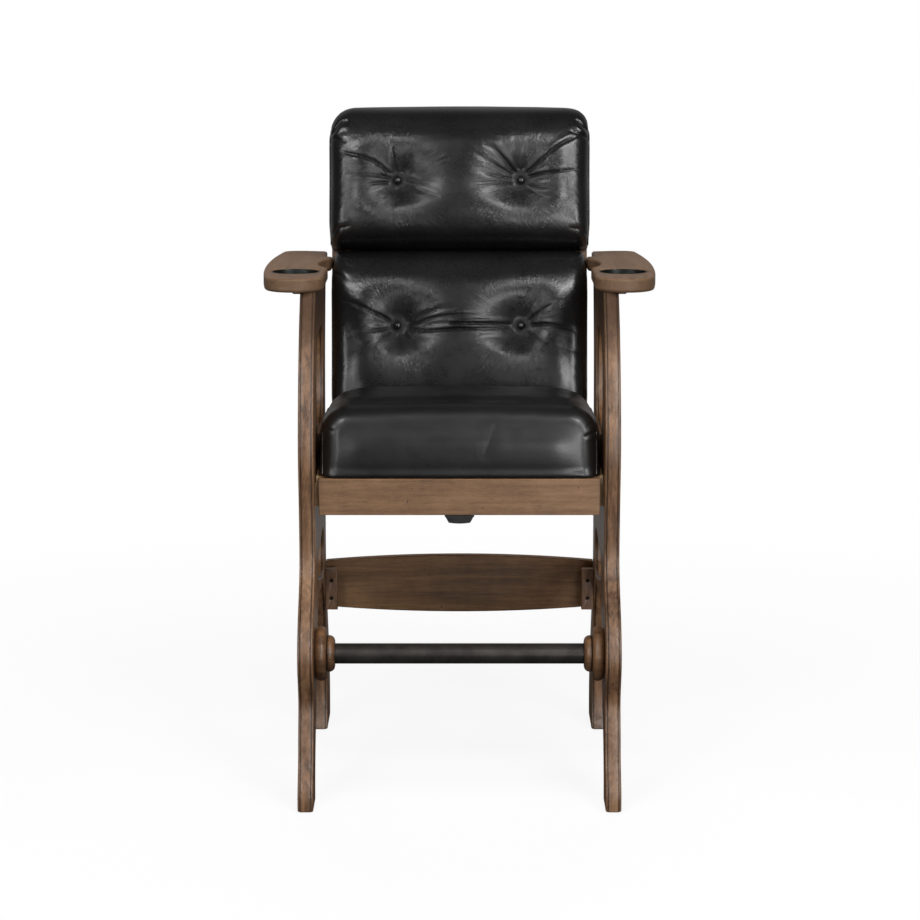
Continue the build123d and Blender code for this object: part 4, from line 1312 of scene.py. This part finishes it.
LOWER_FOLDS = (
    Fold(((-134.8, 229.0), (-150.5, 238.9), (-180.0, 252.7), (-207.5, 265.5), (-240.0, 274.4)),
         4.2, 3.6, 1.8, 1),
    Fold(((-136.7, 217.3), (-177.9, 210.4), (-207.5, 202.5)), 3.0, 3.4, 1.6, -1),
    Fold(((-134.5, 211.5), (-150.5, 200.5), (-174.0, 180.8)), 2.2, 4.0, 1.2, -1),
    Fold(((-121.0, 206.5), (-119.1, 195.0), (-116.1, 168.0)), 1.8, 4.4, 0.9, 1),
    Fold(((-110.3, 208.5), (-98.3, 196.0), (-80.7, 174.9)), 2.2, 4.4, 1.1, 1),
    Fold(((-104.5, 226.1), (-78.1, 240.8), (-38.8, 252.7), (10.8, 257.7)), 2.4, 4.0, 1.4, -1),
    Fold(((-102.8, 222.1), (-58.5, 234.9), (-20.1, 240.9), (22.9, 242.9), (50.3, 239.9)),
         2.6, 3.6, 1.6, -1),
    Fold(((-22.8, 226.2), (24.4, 225.2), (69.8, 225.1), (106.2, 224.1)), 4.0, 3.0, 2.6, 1, True),
    Fold(((-105.4, 216.3), (-62.1, 211.4), (0.8, 214.3), (79.5, 217.2), (106.0, 219.0)),
         2.8, 3.4, 1.2, 1, True),
    Fold(((137.5, 224.1), (170.9, 224.2), (206.3, 218.3), (232.0, 209.4)), 3.8, 3.2, 2.0, 1),
    Fold(((136.5, 231.0), (161.2, 250.7), (203.5, 274.4)), 2.6, 4.0, 1.4, 1),
    Fold(((130.5, 237.0), (142.2, 258.7), (160.5, 286.4)), 1.6, 5.0, 0.9, 1),
    Fold(((134.5, 214.0), (158.2, 197.7), (186.5, 180.4)), 1.8, 4.2, 1.0, -1),
    Fold(((112.5, 209.0), (98.2, 190.7), (86.5, 172.4)), 1.6, 4.4, 0.9, -1),
    Fold(((-252.0, 366.0), (-236.0, 350.3), (-203.6, 331.5)), 4.0, 5.0, 2.0, 1),
    Fold(((252.0, 368.0), (244.0, 357.1), (217.4, 338.4)), 4.0, 5.0, 2.0, -1),
    Fold(((-252.0, 330.0), (-238.0, 322.3), (-216.6, 310.5)), 2.4, 5.0, 1.2, 1),
    Fold(((252.0, 150.0), (236.0, 168.0), (208.0, 180.0)), 2.0, 6.0, 1.0, -1),
)

SEAT_FOLDS = (
    Fold(((-263.0, 687.0), (-252.0, 687.5), (-230.0, 685.4)), 3.0, 2.8, 1.8, 1),
    Fold(((-262.0, 727.0), (-247.8, 731.5), (-224.5, 730.5)), 3.0, 3.2, 1.8, 1),
    Fold(((-262.0, 708.0), (-248.0, 709.0), (-236.0, 706.0)), 1.6, 3.2, 1.0, 1),
    Fold(((262.0, 709.0), (245.0, 722.0), (218.5, 724.9)), 3.0, 3.4, 1.8, 1),
    Fold(((263.0, 676.4), (246.7, 678.9), (228.9, 673.4)), 3.0, 2.8, 1.8, 1),
    Fold(((262.0, 694.0), (248.0, 698.0), (234.0, 695.0)), 1.8, 3.4, 1.1, 1),
    Fold(((68.7, 700.0), (57.7, 672.4), (41.7, 632.9)), 0.5, 10.0, 0.3, 1, True),
)


@dataclass(frozen=True)
class Roll:
    """What sets one back roll apart: its node, buttons, folds, hollow, upper corners and welts."""

    node: str
    button_rise: float
    folds: tuple[Fold, ...]
    hollow: float
    corner_drops: Place
    welt_half: float
    welt_rises: Place


ROLLS = (
    Roll("lower_back_cushion", LOWER_BUTTONS_RISE, LOWER_FOLDS, hollow=2.5, corner_drops=(0.0, 0.0),
         welt_half=0.2515, welt_rises=(0.100, 0.366)),
    Roll("upper_back_cushion", UPPER_BUTTONS_RISE, UPPER_FOLDS, hollow=0.5, corner_drops=(0.026, 0.012),
         welt_half=0.2565, welt_rises=(0.390, 0.618)),
)


@dataclass
class Upholstery:
    """Seat, back rolls, buttons, welts and the rear cover."""

    finishes: Finishes
    back: BackPlane = field(default_factory=BackPlane)
    button_out: float = 0.094
    welt_radius: float = 0.0017
    welt_sunk: float = 0.25
    probe_reach: float = 0.6
    back_probe_out: float = 0.22
    back_probes: int = 48
    seat_welt_half: float = 0.2545
    seat_foot: float = 0.603
    seat_turn: Place = (-0.150, 0.676)
    seat_welt_depths: Place = (-0.145, 0.050)
    before_seat: float = -0.32
    above_seat: float = 0.85
    turn_reach: float = 0.3

    def welt(self, name: str, cushion: bpy.types.Object, shots: list[tuple[np.ndarray, np.ndarray]]) -> None:
        """Lays a thin piped welt along a cushion, where a row of straight probes meets its leather.

        Args:
            name: the welt's name.
            cushion: the finished cushion.
            shots: start and direction of each probe.
        """
        skin = surface_tree(cushion.data)
        found = []
        for start, way in shots:
            place, _, _, _ = skin.ray_cast(Vector(start), Vector(way), self.probe_reach)
            if place is not None:
                found.append(np.array(place) - way * self.welt_radius * self.welt_sunk)
        line = np.array(found)
        for _ in range(3):
            line[1:-1] = (line[:-2] + 2.0 * line[1:-1] + line[2:]) / 4.0
        curve = bpy.data.curves.new(name, "CURVE")
        curve.dimensions = "3D"
        curve.bevel_depth = self.welt_radius
        curve.bevel_resolution = 3
        curve.use_fill_caps = True
        spline = curve.splines.new("POLY")
        spline.points.add(len(line) - 1)
        for point, place in zip(spline.points, line):
            point.co = (*place, 1.0)
        piece = bpy.data.objects.new(name, curve)
        bpy.context.scene.collection.objects.link(piece)
        only(piece)
        bpy.ops.object.convert(target="MESH")
        piece = bpy.context.object
        bpy.ops.object.shade_smooth()
        dress(piece, STOOL, self.finishes.button_leather)

    def back_welts(self, cushion: bpy.types.Object, roll: Roll) -> None:
        """Lays the welts down the front side edges of a back roll.

        Args:
            cushion: the finished roll.
            roll: which roll it is.
        """
        way = -self.back.axes()[2]
        for name, side in SIDES:
            shots = []
            for rise in np.linspace(*roll.welt_rises, self.back_probes):
                start = np.array([[side * roll.welt_half, rise, self.back_probe_out]])
                shots.append((self.back.world(start)[0], way))
            self.welt(f"{cushion.name}_{name}_welt", cushion, shots)

    def seat_welts(self, seat: bpy.types.Object) -> None:
        """Lays the welts over both side edges of the seat, from its front's foot to the back.

        Args:
            seat: the finished seat.
        """
        turn_depth, turn_height = self.seat_turn
        for name, side in SIDES:
            x = side * self.seat_welt_half
            shots = []
            for height in np.linspace(self.seat_foot, turn_height, 14):
                shots.append((np.array([x, self.before_seat, height]), np.array([0.0, 1.0, 0.0])))
            for turn in np.linspace(0.0, math.pi / 2, 16):
                way = np.array([0.0, math.cos(turn), -math.sin(turn)])
                shots.append((np.array([x, turn_depth, turn_height]) - way * self.turn_reach, way))
            for depth in np.linspace(*self.seat_welt_depths, 20):
                shots.append((np.array([x, depth, self.above_seat]), np.array([0.0, 0.0, -1.0])))
            self.welt(f"seat_{name}_welt", seat, shots)

    def button_points(self) -> tuple[Point, ...]:
        """Places of the four buttons in the frame.

        Returns:
            The lower two and the upper two, each from left to right.
        """
        local = []
        for roll in ROLLS:
            for _, side in SIDES:
                local.append([side * BUTTON_SPREAD, roll.button_rise, self.button_out])
        return tuple(tuple(float(c) for c in row) for row in self.back.world(np.array(local)))

    def build(self) -> None:
        """Makes all the leather pieces."""
        made = self.finishes
        seat = SeatCushion("seat_cushion", folds=SEAT_FOLDS, fill=0.7, evening=30).build(made.seat_leather)
        self.seat_welts(seat)
        for roll in ROLLS:
            cushion = BackCushion(roll.node, folds=roll.folds, button_rise=roll.button_rise,
                                  hollow=roll.hollow, corner_drops=roll.corner_drops)
            self.back_welts(cushion.build(made.leather), roll)
        smoothed("back_buttons", STOOL, made.button_leather, 50.0)
        smoothed("back_cover", STOOL, made.leather)


@dataclass(frozen=True)
class Softbox:
    """A soft rectangular lamp that faces a point above the middle of the floor."""

    name: str
    place: Point
    size: Place
    watts: float
    aim_height: float = 0.9
    glare: bool = True

    def hang(self) -> None:
        """Adds the lamp. The camera doesn't see it, and glossy surfaces mirror it only where it has glare."""
        data = bpy.data.lights.new(self.name, "AREA")
        data.shape = "RECTANGLE"
        data.size, data.size_y = self.size
        data.energy = self.watts
        lamp = bpy.data.objects.new(self.name, data)
        lamp.visible_camera = False
        lamp.visible_glossy = self.glare
        way = Vector((0.0, 0.0, self.aim_height)) - Vector(self.place)
        turned = way.to_track_quat("-Z", "Y").to_matrix().to_4x4()
        lamp.matrix_world = Matrix.Translation(self.place) @ turned
        bpy.context.scene.collection.objects.link(lamp)


@dataclass
class Studio:
    """Pale floor, white background, soft lamps and the camera."""

    lens: float = 108.76
    pitch: float = 10.097
    eye: Point = (0.001, -5.2865, 1.533)
    sensor: float = 36.0
    far_clip: float = 200.0
    floor_radius: float = 9.0
    floor_tone: float = 0.26
    mirrored_floor_tone: float = 0.04
    seen_floor_tone: float = 0.85
    white_share: float = 0.88
    fade: Place = (0.8, 2.6)
    behind_floor: Place = (0.3, 1.5)
    behind_world: Place = (0.2, 0.8)
    mirrored_white: float = 0.22
    room_tone: float = 0.07
    softboxes: tuple[Softbox, ...] = (
        Softbox("overhead_softbox", (0.0, -1.15, 3.6), (2.6, 1.6), 75.0, aim_height=0.7, glare=False),
        Softbox("front_left_softbox", (-1.8, -3.6, 3.1), (0.9, 0.8), 38.0),
        Softbox("front_right_softbox", (1.8, -3.6, 3.1), (1.0, 0.9), 60.0),
        Softbox("left_softbox", (-2.5, -2.7, 1.6), (0.6, 1.2), 14.0),
        Softbox("right_softbox", (2.3, -2.9, 1.5), (0.7, 1.4), 26.0),
        Softbox("low_left_softbox", (-1.75, -3.7, 0.85), (0.55, 0.7), 10.0),
        Softbox("low_right_softbox", (1.15, -3.9, 0.65), (0.8, 0.7), 22.0),
        Softbox("rear_softbox", (0.0, 3.2, 3.0), (2.6, 1.4), 65.0, aim_height=0.8, glare=False),
    )

    def camera(self) -> None:
        """Makes the camera of the photograph."""
        data = bpy.data.cameras.new("camera")
        data.lens = self.lens
        data.sensor_width = self.sensor
        data.clip_end = self.far_clip
        camera = bpy.data.objects.new("camera", data)
        camera.location = self.eye
        camera.rotation_euler = (math.radians(90.0 - self.pitch), 0.0, 0.0)
        bpy.context.scene.collection.objects.link(camera)
        bpy.context.scene.camera = camera

    def floor(self) -> None:
        """Makes the pale floor, which fades into the white background."""
        bpy.ops.object.select_all(action="DESELECT")
        bpy.ops.mesh.primitive_circle_add(vertices=96, radius=self.floor_radius, fill_type="NGON",
                                          location=(0.0, 0.0, 0.0))
        floor = bpy.context.object
        floor.name = "floor"
        recipe = Recipe(bpy.data.materials.new("pale_floor"))
        direct, mirrored = recipe.seen_rays()
        behind = recipe.along("Y").step(*self.behind_floor)
        span = recipe.signal("ShaderNodeVectorMath", {"operation": "LENGTH"}, {0: recipe.place}, "Value")
        tone = recipe.mix(mirrored, grey(self.floor_tone), grey(self.mirrored_floor_tone))
        tone = recipe.mix(direct, tone, grey(self.seen_floor_tone))
        matt = recipe.node("ShaderNodeBsdfDiffuse", inputs={"Color": tone})
        white = recipe.node("ShaderNodeEmission", inputs={"Color": grey(1.0), "Strength": 1.0})
        whiteness = self.white_share + span.step(*self.fade) * (1.0 - self.white_share)
        share = (direct * whiteness).higher(mirrored * behind * self.mirrored_white)
        mixed = recipe.node("ShaderNodeMixShader", inputs={0: share, 1: matt.outputs[0], 2: white.outputs[0]})
        recipe.node("ShaderNodeOutputMaterial", inputs={"Surface": mixed.outputs[0]})
        floor.data.materials.append(recipe.owner)

    def world(self) -> None:
        """Makes the white background and the dim studio around it."""
        world = bpy.data.worlds.new("studio")
        bpy.context.scene.world = world
        recipe = Recipe(world, "Generated")
        direct, mirrored = recipe.seen_rays()
        start, end = self.behind_world
        ends = {"From Min": start, "From Max": end, "To Max": self.mirrored_white}
        behind = recipe.signal("ShaderNodeMapRange", inputs={"Value": recipe.along("Y"), **ends})
        share = direct.higher(mirrored * behind)
        room = recipe.node("ShaderNodeBackground", inputs={"Color": grey(self.room_tone)})
        white = recipe.node("ShaderNodeBackground", inputs={"Color": grey(1.0)})
        mixed = recipe.node("ShaderNodeMixShader", inputs={0: share, 1: room.outputs[0], 2: white.outputs[0]})
        recipe.node("ShaderNodeOutputWorld", inputs={"Surface": mixed.outputs[0]})

    def build(self) -> None:
        """Sets up the whole studio."""
        bpy.context.scene.view_settings.view_transform = "Standard"
        self.camera()
        self.floor()
        self.world()
        for softbox in self.softboxes:
            softbox.hang()


def main() -> None:
    """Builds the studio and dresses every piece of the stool."""
    logging.basicConfig(level=logging.INFO, format="%(message)s")
    Studio().build()
    finishes = Finishes()
    upholstery = Upholstery(finishes)
    finishes.make(upholstery.button_points())
    WoodenFrame(finishes).build()
    Drawer(finishes).build()
    Fittings(finishes).build()
    upholstery.build()


if __name__ == "__main__":
    main()
